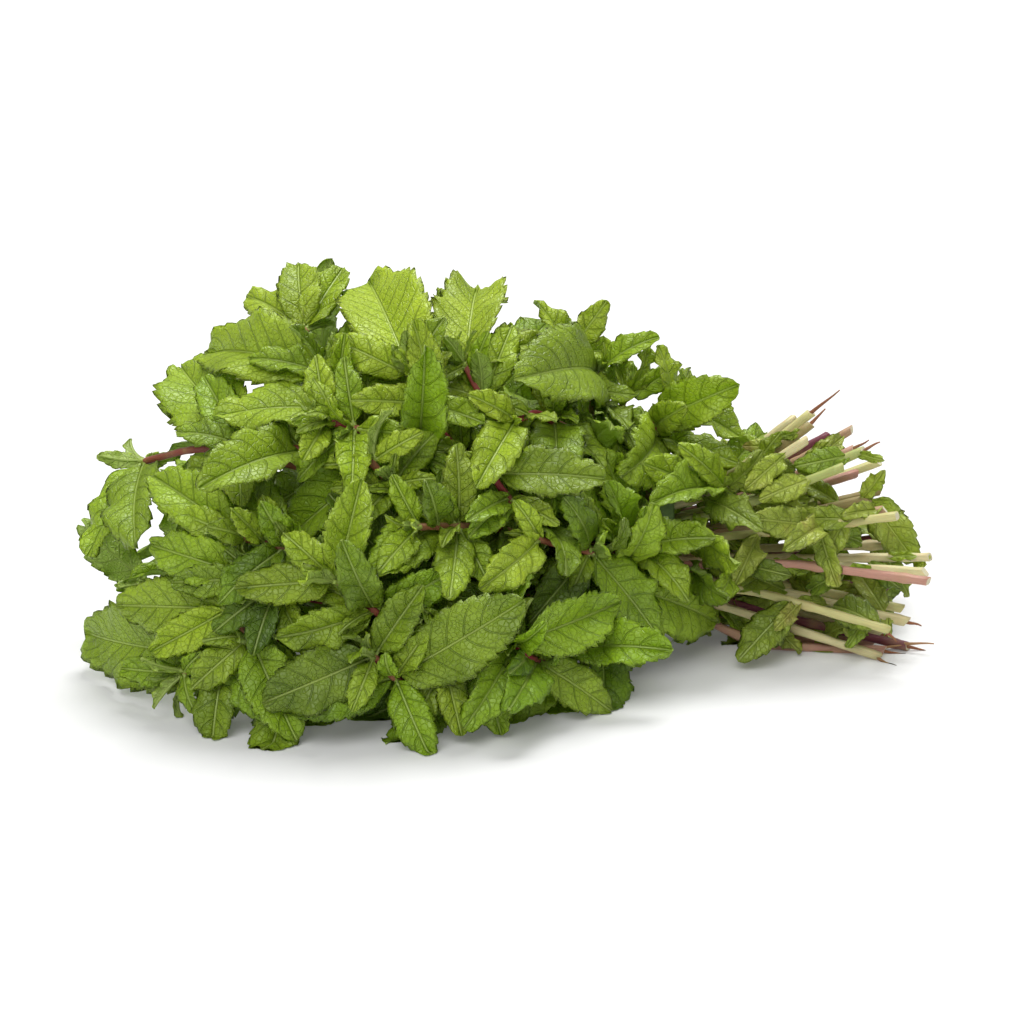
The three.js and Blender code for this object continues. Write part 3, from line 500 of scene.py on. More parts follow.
def finish_leaf(leaf, reach):
    """Fills in what follows from a leaf's root, direction and facing."""
    leaf["face"] = square_to(leaf["face"], leaf["along"])
    leaf["side"] = np.cross(leaf["along"], leaf["face"])
    leaf["start"] = leaf["root"] + leaf["along"] * PETIOLE_LENGTH
    chord = math.sin(leaf["bend"] / 2) / (leaf["bend"] / 2)
    leaf["length"] = max(reach - PETIOLE_LENGTH, 6) / chord
    return leaf


def aimed_leaf(root, end, facing, key, attempt):
    """A leaf whose end is given."""
    draw = draws(key * 977 + attempt * 31)
    aim = end - root
    drift = 0.02 * attempt * length_of(aim)
    aim = aim + np.array([drift * (draw(1) - 0.5), 2 * drift * (draw(2) - 0.5), drift * (draw(3) - 0.5)])
    reach = length_of(aim) * (1 - 0.008 * attempt)
    leaf = {
        "root": root,
        "along": unit(aim),
        "face": facing + np.array([1.1 * (draw(4) - 0.5), 0.0, 1.1 * (draw(5) - 0.5)]),
        **form(draw, 6, bend=(0.25, 0.95), fold=(0.12, 0.5)),
    }
    finish_leaf(leaf, reach)
    leaf["width"] = min(leaf["length"] * between(0.5, 0.6, draw(13)), 29)
    leaf["width"] = max(leaf["width"], min(leaf["length"], MIDDLE_LEAF) * 0.6)
    leaf["teeth"] = 4 if leaf["length"] > LONG_LEAF else 3 if leaf["length"] > MIDDLE_LEAF else 2
    return leaf


def ruled_leaf(root, along, facing, angle, size, key, attempt):
    """A leaf that stands out of the stem at an angle round it."""
    draw = draws(key * 977 + attempt * 31)
    out = out_of_heap(root)
    reference = square_to(out, along)
    second = np.cross(along, reference)
    turned = angle + 0.09 * attempt * (draw(1) - 0.5)
    away = reference * math.cos(turned) + second * math.sin(turned)
    lean = between(0.75, 1.25, draw(2))
    direction = away * math.sin(lean) + along * math.cos(lean) + out * (0.45 * draw(3))
    direction = unit(direction + 0.05 * attempt * (np.array([draw(4), draw(5), draw(6)]) - 0.5))
    reach = size * LEAF_LENGTH * between(0.85, 1.12, draw(7)) * (1 - 0.016 * attempt)
    end = direction * reach + root
    depth = heap_depth(end)
    if depth > HEAP_EDGE:
        end = (end - HEAP_CENTRE) * (HEAP_EDGE / depth) + HEAP_CENTRE
    end[2] = max(end[2], LEAF_REST)
    leaf = {
        "root": root,
        "along": unit(end - root),
        "face": out + facing + np.array([0.7 * (draw(8) - 0.5), 0.7 * (draw(9) - 0.5), 0.0]),
        **form(draw, 10, bend=(0.2, 1.1), fold=(0.1, 0.55)),
    }
    finish_leaf(leaf, reach)
    leaf["width"] = leaf["length"] * between(0.48, 0.58, draw(17))
    leaf["teeth"] = 3 if leaf["length"] > RULED_LONG_LEAF else 2
    return leaf


def nearest_place(stems, want, corners, steps, behind=0):
    """The stem and the point on it nearest to a wanted point; what lies behind it counts as further off."""
    best = None
    for i, stem in enumerate(stems):
        for corner in corners:
            for step in range(1, steps):
                point, _ = on_stem(stem, corner, step / steps)
                gap = length_of(point - want) + (behind if point[1] > want[1] else 0)
                if best is None or gap < best[0]:
                    best = (gap, i, point)
    return best[1:]


def wished_leaves(stems):
    """Every leaf that the bunch tries to grow: its sprig, its kind, and its shape at a given attempt."""
    wished = []
    for i, stem in enumerate(stems):
        if not stem["seen"]:
            continue
        for n, kind in enumerate(("tip", "via")):
            point, _ = on_stem(stem, *stem["nodes"][n])
            for k, pixel in enumerate(stem["seen"][kind]):
                end = heap_point(pixel, LEAF_LIFT[kind], LEAF_REST)
                facing = out_of_heap((point + end) / 2) + TO_VIEWER
                key = i * SPRIG_KEYS + n * KIND_KEYS + k
                wished.append((i, kind, partial(aimed_leaf, point, end, facing, key)))
    for k, (start, goal, depth) in enumerate(BUTT_LEAVES):
        want, end = plane_point(start, depth * 0.6), plane_point(goal, depth)
        i, point = nearest_place(stems, want, (0, 1, 2), BUTT_STEPS, BUTT_BEHIND)
        wished.append((i, "butt", partial(aimed_leaf, point, end, TO_VIEWER, BUTT_KEY + k)))
    for i, stem in enumerate(stems):
        if not stem["seen"]:
            continue
        point, along = on_stem(stem, *stem["nodes"][SHOOT_NODE])
        for hand in (0, 1):
            angle = chance(i + 401) * 2 * math.pi + hand * math.pi
            key = i * SPRIG_KEYS + SHOOT_KEY + hand
            make = partial(ruled_leaf, point, along, UP * 0.5 + TO_VIEWER, angle, SHOOT_SIZE, key)
            wished.append((i, "shoot", make))
    for i, stem in enumerate(stems):
        for level, node in enumerate(stem["nodes"][2 if stem["seen"] else 0:]):
            point, along = on_stem(stem, *node)
            size = 1 if stem["seen"] or level else HIDDEN_TIP_SIZE
            facing = UP * 0.5 + (TO_VIEWER * 0.6 if stem["seen"] else 0)
            for hand in (0, 1):
                angle = chance(i + 301) * 6 + level * (math.pi / 2) + hand * math.pi
                key = i * SPRIG_KEYS + RULED_KEY + level * 2 + hand
                wished.append((i, "ruled", partial(ruled_leaf, point, along, facing, angle, size, key)))
    return wished


def corners_of(leaf):
    """Three corners that the CAD leaf has in its mesh: the tip, and a tooth on each side."""
    tip = blade_points(leaf, 1.0, 0.0, 0.0)
    tip[2] = max(tip[2], BLADE_THICKNESS / 4)
    share = 1 / (leaf["teeth"] + 0.45)
    found = [tip]
    for hand in (-1, 1):
        tooth = blade_points(leaf, share - 0.02, hand * (1 + TOOTH_DEPTH / 2), 0.0)
        tooth[2] = max(tooth[2], 0)
        found.append(tooth)
    return found


def grown_leaves(stems):
    """The leaves that the CAD sprigs have, found by their corners in the meshes, and those not grown."""
    trees = []
    for i in range(len(stems)):
        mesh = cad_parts[f"sprig_{i + 1:02d}"].data
        tree = kdtree.KDTree(len(mesh.vertices))
        for vertex in mesh.vertices:
            tree.insert(np.array(vertex.co) * 1000 - ORIGIN_SHIFT, vertex.index)
        tree.balance()
        trees.append(tree)
    grown, missing = [], []
    for order, (i, kind, make) in enumerate(wished_leaves(stems)):
        best = None
        for attempt in range(ATTEMPTS):
            leaf = make(attempt)
            off = sorted(trees[i].find(corner)[2] for corner in corners_of(leaf))
            if best is None or off[1] < best[0]:
                best = (off[1], leaf)
        if best[0] < MATCH:
            grown.append({"sprig": i, "kind": kind, "order": order, **best[1]})
        else:
            missing.append((i, kind, make))
    return grown, missing


def close_up(leaf):
    """The same leaf with its blade begun nearer the stem, as a mint leaf has almost no stalk."""
    chord = math.sin(leaf["bend"] / 2) / (leaf["bend"] / 2)
    stalk = min(STALK, 0.12 * leaf["length"])
    leaf["start"] = leaf["root"] + leaf["along"] * stalk
    leaf["length"] += (PETIOLE_LENGTH - stalk) / chord
    leaf["stalk"] = stalk
    return leaf


def free_leaf(root, direction, facing, reach, key):
    """A small leaf in a given direction."""
    draw = draws(key * 61)
    leaf = {
        "root": root,
        "along": unit(direction),
        "face": facing + np.array([draw(1) - 0.5, draw(2) - 0.5, 0.0]) * 0.7,
        **form(draw, 3, bend=(0.3, 1.3), fold=(0.1, 0.6), droop=0.3, twist=0.6, wave=(0.3, 1.0), waves=2.6),
    }
    leaf["wave"] *= min(1.0, reach / 30)
    finish_leaf(leaf, reach)
    leaf["width"] = leaf["length"] * between(0.5, 0.62, draw(10))
    return leaf


class Room:
    """The places that leaves have taken, for adding small ones that meet none of them."""

    def __init__(self, leaves):
        self.shapes = [self.shape(leaf) for leaf in leaves]
        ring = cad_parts["band"].data
        points = np.array([vertex.co for vertex in ring.vertices]) * 1000 - ORIGIN_SHIFT
        tree = BVHTree.FromPolygons(points.tolist(), [tuple(face.vertices) for face in ring.polygons])
        self.shapes.append((points, points.min(0), points.max(0), tree))
        self.low = np.array(cad_low) * 1000 - ORIGIN_SHIFT
        self.high = np.array(cad_high) * 1000 - ORIGIN_SHIFT

    def shape(self, leaf):
        u = np.array([0.08, 0.25, 0.45, 0.65, 0.85, 0.97])[:, None]
        v = np.array([-1.0, -0.5, 0.0, 0.5, 1.0])[None, :]
        points = blade_points(leaf, u, v, 0.0).reshape(-1, 3)
        points[:, 2] = np.maximum(points[:, 2], 0.3)
        tree = BVHTree.FromPolygons(points.tolist(), grid_faces(u.shape[0], v.shape[1]))
        return points, points.min(0) - 0.2, points.max(0) + 0.2, tree

    def take(self, leaf):
        """Takes the leaf's place if it is free and in the CAD model's box."""
        points, low, high, tree = self.shape(leaf)
        if (low < self.low).any() or (high > self.high).any():
            return False
        for _, other_low, other_high, other in self.shapes:
            if (low < other_high).all() and (other_low < high).all() and tree.overlap(other):
                return False
        self.shapes.append((points, low, high, tree))
        return True


def round_stem(along, angle, lean):
    """A direction that leans away from the stem at an angle round it."""
    side = square_to(np.array([0.03, 0.05, 1.0]), along)
    over = np.cross(along, side)
    return (side * math.cos(angle) + over * math.sin(angle)) * math.sin(lean) + along * math.cos(lean)


def added_leaves(stems, leaves, missing):
    """Small leaves that the CAD sprigs leave out: buds at the tips, side shoots, and what fills the gaps."""
    room = Room(leaves)
    added = []

    def offer(i, kind, make, tries=FILL_TRIES):
        for attempt in range(tries):
            leaf = close_up(make(attempt))
            if room.take(leaf):
                added.append({"sprig": i, "kind": kind, "order": ADDED_ORDER + len(added), **leaf})
                return

    for i, stem in enumerate(stems):
        tip = stem["corners"][-1]
        along = unit(tip - stem["corners"][-2])
        for k in range(2 * len(BUD_LEAN)):
            pair, hand = divmod(k, 2)

            def bud(a):
                angle = pair * math.pi / 2 + hand * math.pi + a * 0.35 + i
                reach = BUD_REACH[pair] * (1 - 0.07 * a) * between(0.85, 1.15, chance(i * 9 + k))
                return free_leaf(tip - along * (2.2 - pair), round_stem(along, angle, BUD_LEAN[pair]),
                                 along + TO_VIEWER * 0.2, reach, i * 31 + k + a * 401)

            offer(i, "bud", bud)
    for k, (start, end, depth) in enumerate(WAIST_LEAVES):
        want, goal = plane_point(start, depth * 0.6), plane_point(end, depth)
        i, point = nearest_place(stems, want, (1, 2), 10)

        def waist(a):
            way = goal - point + UP * 3 * (chance(k + a * 7) - 0.5) * a
            reach = length_of(goal - point) * (1.0 - 0.03 * a)
            return free_leaf(point, way, TO_VIEWER + UP * 0.3, reach, WAIST_SEED + k + a * 53)

        offer(i, "via", waist, LISTED_TRIES)
    for i, kind, make in missing:
        def smaller(a):
            leaf = make(2 * a)
            for size in ("length", "width"):
                leaf[size] *= 0.86 - 0.045 * a
            return leaf

        offer(i, "ruled" if kind == "tip" else kind, smaller, LISTED_TRIES)
    for i, stem in enumerate(stems):
        for level, place in enumerate(stem["nodes"][1:]):
            point, along = on_stem(stem, *place)
            for hand in (0, 1):
                def shoot(a):
                    angle = chance(i + 401) * 6 + 0.8 + level * 1.57 + hand * math.pi + a * 0.5
                    reach = between(*SHOOT_REACH, chance(i * 5 + level + hand)) * (1 - 0.06 * a)
                    key = SHOOT_SEED + i * 37 + level * 2 + hand + a * 911
                    way = round_stem(along, angle, 0.6 + 0.1 * a)
                    return free_leaf(point, way, along + out_of_heap(point), reach, key)

                offer(i, "shoot", shoot)
    for k in range(BUTT_FILL):
        i = int(chance(BUTT_SEED + 1 + k) * len(stems))
        point, _ = on_stem(stems[i], k % 2, chance(BUTT_SEED + 101 + k))
        if point[1] < -6 and k % 4:
            continue

        def wilting(a):
            way = np.array([
                1.5 * (chance(BUTT_SEED + 201 + k * 3 + a) - 0.5),
                1.2 * (chance(BUTT_SEED + 301 + k * 5 + a) - 0.2),
                0.4 - 1.3 * chance(BUTT_SEED + 401 + k * 7 + a),
            ])
            reach = between(*BUTT_REACH, chance(BUTT_SEED + 501 + k)) * (1 - 0.05 * a)
            return free_leaf(point, way, TO_VIEWER + UP * 0.3, reach, BUTT_SEED + 600 + k + a * 577)

        offer(i, "butt", wilting, LOOSE_TRIES)
    for k in range(HEAP_FILL):
        i = int(chance(HEAP_SEED + 1 + k) * len(stems))
        corner = 2 + int(chance(HEAP_SEED + 101 + k) * (len(stems[i]["corners"]) - 3))
        point, along = on_stem(stems[i], corner, chance(HEAP_SEED + 201 + k))

        def outward(a):
            angle = 6.28 * chance(HEAP_SEED + 301 + k * 3 + a)
            way = round_stem(along, angle, 1.0) + out_of_heap(point) * 0.9
            reach = between(*HEAP_REACH, chance(HEAP_SEED + 401 + k)) * (1 - 0.04 * a)
            end = point + unit(way) * reach
            if heap_depth(end) > HEAP_EDGE or end[2] < 1:
                reach *= 0.6
            facing = out_of_heap(point) + TO_VIEWER * 0.4 + UP * 0.3
            return free_leaf(point, way, facing, reach, HEAP_SEED + 600 + k + a * 733)

        offer(i, "shoot", outward, LOOSE_TRIES)
    return added


class Skin:
    """Points, faces and per-point values of one piece, gathered part by part."""

    def __init__(self):
        self.points, self.faces, self.uv, self.values, self.count = [], [], [], [], 0

    def add(self, points, faces, uv, values):
        self.points.append(points)
        self.faces.extend(tuple(k + self.count for k in face) for face in faces)
        self.uv.append(uv)
        self.values.append({name: np.broadcast_to(value, len(points)) for name, value in values.items()})
        self.count += len(points)

    def piece(self, name, material):
        points = (np.concatenate(self.points) + ORIGIN_SHIFT) / 1000
        mesh = bpy.data.meshes.new(name)
        mesh.from_pydata(points.tolist(), [], self.faces)
        loops = np.empty(len(mesh.loops), np.int32)
        mesh.loops.foreach_get("vertex_index", loops)
        layer = mesh.uv_layers.new(name="flat")
        layer.data.foreach_set("uv", np.concatenate(self.uv)[loops].astype(np.float32).ravel())
        for key in self.values[0]:
            values = np.concatenate([row[key] for row in self.values]).astype(np.float32)
            mesh.attributes.new(key, "FLOAT", "POINT").data.foreach_set("value", values)
        mesh.polygons.foreach_set("use_smooth", np.ones(len(mesh.polygons), bool))
        mesh.materials.append(material)
        mesh.update()
        thing = bpy.data.objects.new(name, mesh)
        bpy.context.scene.collection.objects.link(thing)
        return thing


def grid_faces(rows, columns, flip=False, closed=False):
    """Quads between the points of a grid, whose rows may close into rings."""
    faces = []
    for r in range(rows - 1):
        for c in range(columns if closed else columns - 1):
            d = (c + 1) % columns
            quad = (r * columns + c, r * columns + d, (r + 1) * columns + d, (r + 1) * columns + c)
            faces.append(quad[::-1] if flip else quad)
    return faces


def angles_round(sides):
    return np.arange(sides) / sides * 2 * math.pi


def leaf_stations(leaf):
    """Stations along the rib with the margin's rise or notch at each, three stations to a tooth."""
    teeth = int(np.clip(round(leaf["length"] / TOOTH_PITCH), 5, 11))
    edges = np.linspace(0.07, 0.965, teeth + 1) ** 0.96
    u = [0.0, 0.015, 0.035]
    rise = [0.0, 0.0, 0.0]
    for k, (low, high) in enumerate(zip(edges, edges[1:])):
        depth = TOOTH_RISE * (0.75 + 0.5 * chance(leaf["order"] * 13 + k))
        u += [low + (high - low) * share for share in (0.06, 0.45, 0.86)]
        rise += [-depth, 0.45 * depth, depth]
    return np.array(u + [0.982]), np.array(rise + [-0.3 * TOOTH_RISE])


def lateral(u, across):
    """Where a point is between the lateral veins: whole numbers are veins."""
    return u - VEIN_SWEEP * across ** 1.3


def relief(leaf, along, flat, v, profile, count, wilt):
    """Height of the blade's middle: quilting between veins, ruffles, the rib's channel, a fold and a curl."""
    order = leaf["order"]
    size = min(1.0, leaf["length"] / FULL_RELIEF)
    share = np.abs(np.sin(math.pi * lateral(along, flat) * count))
    wander = [chance(order * 7 + k) * 6.28 for k in range(6)]
    cross_puff = 0.8 + 0.3 * np.sin(7.5 * v[None, :] + 11 * along + wander[4])
    puff = QUILT * size * (share ** 0.7) * np.sqrt(flat) * (1 - 0.75 * flat ** 3) * cross_puff
    rough = 0.55 * np.sin(9 * along + wander[0] + 4 * v[None, :]) * flat
    rough = rough + 0.35 * np.sin(17 * along + wander[1]) * flat ** 2
    hand = np.where(v[None, :] > 0, wander[2], wander[3])
    rough = rough + RUFFLE * np.sin((15 + wander[5]) * along + hand) * flat ** 3
    rough = rough + 0.5 * np.sin(31 * along + hand) * flat ** 4
    channel = BLADE["channel"] * np.exp(-((flat / 0.1) ** 2))
    fold = FOLD * (chance(order * 13 + 5) - 0.28) * leaf["width"] * profile[:, None] * flat
    curl = CURL * (chance(order * 13 + 9) - 0.62) * leaf["length"] * along ** 3
    return puff + rough * size * (1 + 1.3 * wilt) - channel * size + fold + curl


def blade_faces(rows, columns):
    """Faces of a closed blade: its top, its underside on the same rim, and what closes tip and base."""
    first, last = rows * columns, rows * columns + rows * (columns - 2)
    faces = grid_faces(rows, columns)

    def low(r, c):
        return r * columns + c if c in (0, columns - 1) else first + r * (columns - 2) + c - 1

    for r in range(rows - 1):
        for c in range(columns - 1):
            faces.append((low(r, c), low(r + 1, c), low(r + 1, c + 1), low(r, c + 1)))
    end = rows - 1
    for c in range(columns - 1):
        faces.append((end * columns + c, end * columns + c + 1, last))
        faces.append((low(end, c + 1), low(end, c), last))
        base = (c + 1, c, low(0, c), low(0, c + 1))
        faces.append(base[:2] + base[3:] if c == 0 else base if c < columns - 2 else base[:3])
    return faces


def add_leaf(skin, leaf):
    """A thin toothed blade with a raised rib below, and its stalk."""
    u, rise = leaf_stations(leaf)
    half_row = COLUMNS if leaf["length"] > LONG_BLADE else FEW_COLUMNS
    v = np.concatenate([-half_row[:0:-1], half_row])
    rows, columns = len(u), len(v)
    margin = np.abs(v[None, :]) ** 5
    along = u[:, None] + 0.016 * margin * (rise[:, None] > 0.02)
    base = np.clip(u / 0.055, 0, 1)
    stalk = 2 * 0.6 / leaf["width"]
    profile = stalk * (1 - base) + outline(np.clip(u, 1e-4, 1)) * base
    across = v[None, :] * (1 + rise[:, None] * margin)
    flat = np.abs(v)[None, :] + 0 * along
    count = leaf["length"] / next(pitch for least, pitch in VEIN_PITCHES if leaf["length"] > least)
    looks = looks_of(leaf)
    mid = relief(leaf, along, flat, v, profile, count, looks["wilt"])
    thin = BLADE["thickness"] / 2 * (1 - 0.4 * flat)
    rib = BLADE["rib"] * np.exp(-((flat / 0.08) ** 2)) * (1 - 0.7 * along)
    top = blade_points(leaf, along, across, mid + thin, profile[:, None])
    under = blade_points(leaf, along, across, mid - thin - rib, profile[:, None])
    top[:, [0, -1]] = (top[:, [0, -1]] + under[:, [0, -1]]) / 2
    top[..., 2] = np.maximum(top[..., 2], 0.45)
    under[..., 2] = np.maximum(under[..., 2], 0.1)
    tip = blade_points(leaf, 1.0, 0.0, 0.0)
    tip[2] = max(tip[2], 0.3)
    points = np.concatenate([top.reshape(-1, 3), under[:, 1:-1].reshape(-1, 3), tip[None, :]])
    flat_uv = np.stack([along, 0.5 + 0.5 * v[None, :] + 0 * along], -1)
    uv = np.concatenate([flat_uv.reshape(-1, 2), flat_uv[:, 1:-1].reshape(-1, 2), [[1.0, 0.5]]])
    span = np.broadcast_to((0.5 * leaf["width"] * profile)[:, None], (rows, columns))
    spans = np.concatenate([span.reshape(-1), span[:, 1:-1].reshape(-1), [0.0]])
    side = np.concatenate([np.zeros(rows * columns), np.ones(rows * (columns - 2)), [0.5]])
    values = {"span": spans, "under": side, "veins": count, "long": leaf["length"], **looks}
    skin.add(points, blade_faces(rows, columns), uv, values)
    add_petiole(skin, leaf, values)


def add_petiole(skin, leaf, values):
    """The stalk from the stem to the blade, as a tapered tube that runs on a little under the rib."""
    sides, rings = 7, 4
    run = np.linspace(-0.1, 1.15, rings)
    angle = angles_round(sides)
    points = []
    for k, at in enumerate(run):
        centre = leaf["root"] + leaf["along"] * (leaf["stalk"] * 1.5) * at
        radius = between(*BLADE["petiole"], k / (rings - 1))
        ring = np.cos(angle)[:, None] * leaf["side"] + np.sin(angle)[:, None] * leaf["face"] * 0.8
        points.append(centre + radius * ring)
    points = np.concatenate(points)
    points[:, 2] = np.maximum(points[:, 2], 0.1)
    faces = grid_faces(rings, sides, flip=True, closed=True)
    faces += [tuple(range(sides)), tuple((rings - 1) * sides + k for k in reversed(range(sides)))]
    more = {name: values[name] if np.ndim(values[name]) == 0 else 0.0 for name in values}
    more["span"], more["under"] = 0.0, 0.4
    skin.add(points, faces, np.full((len(points), 2), (0.02, 0.5)), more)


def looks_of(leaf):
    """How yellow, how old and how wilted a leaf is, with painted light in its tone: the higher a leaf stands,
    the lighter and yellower it is painted.
    """
    middle = (leaf["root"] + leaf["start"] + leaf["along"] * leaf["length"] * 0.5) / 2
    # Painted light: the higher a leaf stands, the lighter and yellower its tone, as if lit from above, and
    # the lower, the darker, as if in shade
    high = np.clip(middle[2] / 110, 0, 1)
    draw = [chance(leaf["order"] * 29 + k) for k in range(4)]
    young = {"tip": 0.25, "via": 0.1, "bud": 0.45}.get(leaf["kind"], 0.0)
    wilt = 0.12 * draw[1] ** 3
    if leaf["kind"] == "butt":
        wilt = (0.1 + 0.75 * draw[1]) * np.clip((middle[0] - 58) / 20, 0, 1)
    tone_and_painted_top_light = np.clip(0.1 + 0.35 * high + young * 0.7 + 0.4 * (draw[0] - 0.4), 0, 1)
    return {"tone_and_painted_top_light": tone_and_painted_top_light, "wilt": wilt, "shade": draw[2]}


def bent_line(corners):
    """The corner line with each corner rounded off, as points and their length run."""
    line = [corners[0]]
    for a, b, c in zip(corners, corners[1:], corners[2:]):
        reach = min(STEM["turn"], 0.3 * length_of(b - a), 0.3 * length_of(c - b))
        start, end = b + unit(a - b) * reach, b + unit(c - b) * reach
        for k in range(STEM["pieces"] + 1):
            t = k / STEM["pieces"]
            line.append(start * (1 - t) ** 2 + b * 2 * t * (1 - t) + end * t * t)
    line.append(corners[-1])
    line = np.array(line)
    run = np.concatenate([[0], np.cumsum(np.linalg.norm(np.diff(line, axis=0), axis=1))])
    return line, run


def add_stem(skin, stem, i):
    """A square stem with hollowed sides and knots, cut at a slant, with the pith showing at the cut."""
    line, run = bent_line(stem["corners"])
    total = run[-1]
    corner_run = np.concatenate([[0], np.cumsum(np.linalg.norm(np.diff(stem["corners"], axis=0), axis=1))])
    knots = [corner_run[c] + s * (corner_run[c + 1] - corner_run[c]) for c, s in stem["nodes"]]
    while knots[-1] - INTERNODE * 1.25 > 4:
        knots.append(knots[-1] - INTERNODE * (1.1 + 0.3 * chance(i * 5 + len(knots))))
    stations = set(np.round(run, 3))
    stations |= set(np.round(np.arange(0, total, STEM["step"]), 3))
    for knot in knots:
        near = [knot + offset for offset in KNOT_RINGS]
        stations |= {round(float(at), 3) for at in near if 0.5 < at < total - 0.5}
    stations = np.array(sorted(stations))
    stations = stations[np.concatenate([[True], np.diff(stations) > 0.35])]
    centres = np.stack([np.interp(stations, run, line[:, k]) for k in range(3)], 1)
    ahead = np.gradient(centres, axis=0)
    ahead /= np.linalg.norm(ahead, axis=1)[:, None]
    sides = 12
    angle = angles_round(sides)
    square = 1 / np.maximum(np.abs(np.cos(angle)), np.abs(np.sin(angle)))
    square = square * (1 - STEM["round"]) + STEM["round"] * 1.12 - STEM["hollow"] * np.cos(4 * angle)
    swell = np.zeros(len(stations))
    for knot in knots:
        swell += STEM["knot"] * np.exp(-(((stations - knot) / STEM["knot_length"]) ** 2))
    width = between(CUT_WIDTH, TIP_WIDTH, stations / total)
    uneven = 1 + 0.05 * np.sin(stations * 0.33 + i) + 0.03 * np.sin(stations * 1.1 + 2 * i)
    half = width / 2 * uneven * (1 + swell)
    half[-3:] *= [0.92, 0.75, 0.45]
    side = np.array([square_to(np.array([0, 1, 0.01]), a) for a in ahead])
    over = np.cross(ahead, side)
    ring = np.cos(angle)[None, :, None] * side[:, None, :] + np.sin(angle)[None, :, None] * over[:, None, :]
    points = centres[:, None, :] + ring * (half[:, None] * square[None, :])[..., None]
    slant = TO_VIEWER * (chance(i + 91) - 0.5) + UP * (chance(i + 97) - 0.5)
    points[0] += ahead[0] * ((points[0] - centres[0]) @ slant)[:, None] * CUT_SLANT
    inner = centres[0] + (points[0] - centres[0]) * 0.74 - ahead[0] * 0.1
    hub = centres[0] + ahead[0] * 0.35
    points = np.concatenate([points.reshape(-1, 3), inner, hub[None, :]])
    points[:, 2] = np.maximum(points[:, 2], 0.02)
    rings = len(stations)
    faces = grid_faces(rings, sides, closed=True)
    first = rings * sides
    for k in range(sides):
        d = (k + 1) % sides
        faces.append((d, k, first + k, first + d))
        faces.append((first + d, first + k, first + sides))
    faces.append(tuple((rings - 1) * sides + k for k in range(sides)))
    uv = np.broadcast_arrays(stations[:, None] / 100, angle[None, :] / 2 / math.pi)
    uv = np.concatenate([np.stack(uv, -1).reshape(-1, 2), np.tile([[0.0, 0.5]], (sides + 1, 1))])
    at = np.repeat(stations, sides)
    at = np.concatenate([at, np.zeros(sides + 1)])
    pith = np.concatenate([np.zeros(first), np.ones(sides + 1)])
    knotty = np.concatenate([np.repeat(swell, sides), np.zeros(sides + 1)]) / STEM["knot"]
    cut = CUT_KINDS[int(chance(i + 131) * len(CUT_KINDS)) % len(CUT_KINDS)]
    top = between(YOUNG_STEM["green"], YOUNG_STEM["red"], 0.4 + 0.6 * chance(i + 177))
    share = np.clip((at - 70) / 50, 0, 1)[:, None]
    color = np.array(cut)[None, :] * (1 - share) + np.array(top)[None, :] * share
    values = {
        "red": color[:, 0], "green": color[:, 1], "blue": color[:, 2],
        "pith": pith, "knot": np.clip(knotty, 0, 1), "seed": chance(i + 211),
    }
    skin.add(points, faces, uv, values)


def add_twig(skin, start, way, length, width, bend, look):
    """A thin dry twig or rootlet: a bent, tapering tube that starts inside a stem."""
    sides, rings = 6, 7
    way = unit(way)
    side = square_to(bend, way)
    over = np.cross(way, side)
    angle = angles_round(sides)
    points = []
    for k in range(rings):
        t = k / (rings - 1)
        centre = start + way * length * t + bend * length * (t * t + 0.25 * math.sin(5 * t))
        radius = width / 2 * (1 - 0.7 * t)
        points.append(centre + radius * (np.cos(angle)[:, None] * side + np.sin(angle)[:, None] * over))
    points = np.concatenate(points)
    points[:, 2] = np.maximum(points[:, 2], 0.1)
    faces = grid_faces(rings, sides, closed=True)
    faces += [tuple(reversed(range(sides))), tuple((rings - 1) * sides + k for k in range(sides))]
    run = np.repeat(np.arange(rings) / rings * length / 100, sides)
    uv = np.stack([run, np.tile(angle / 2 / math.pi, rings)], 1)
    values = {"red": look[0], "green": look[1], "blue": look[2], "pith": 0.0, "knot": 0.0, "seed": look[0]}
    skin.add(points, faces, uv, values)


def node(tree, kind, inputs=None, **settings):
    """A shader node with its settings made and its inputs set or linked."""
    made = tree.nodes.new(kind)
    for key, value in settings.items():
        setattr(made, key, value)
    for key, value in (inputs or {}).items():
        socket = made.inputs[key]
        if isinstance(value, bpy.types.NodeSocket):
            tree.links.new(value, socket)
        else:
            socket.default_value = value
    return made


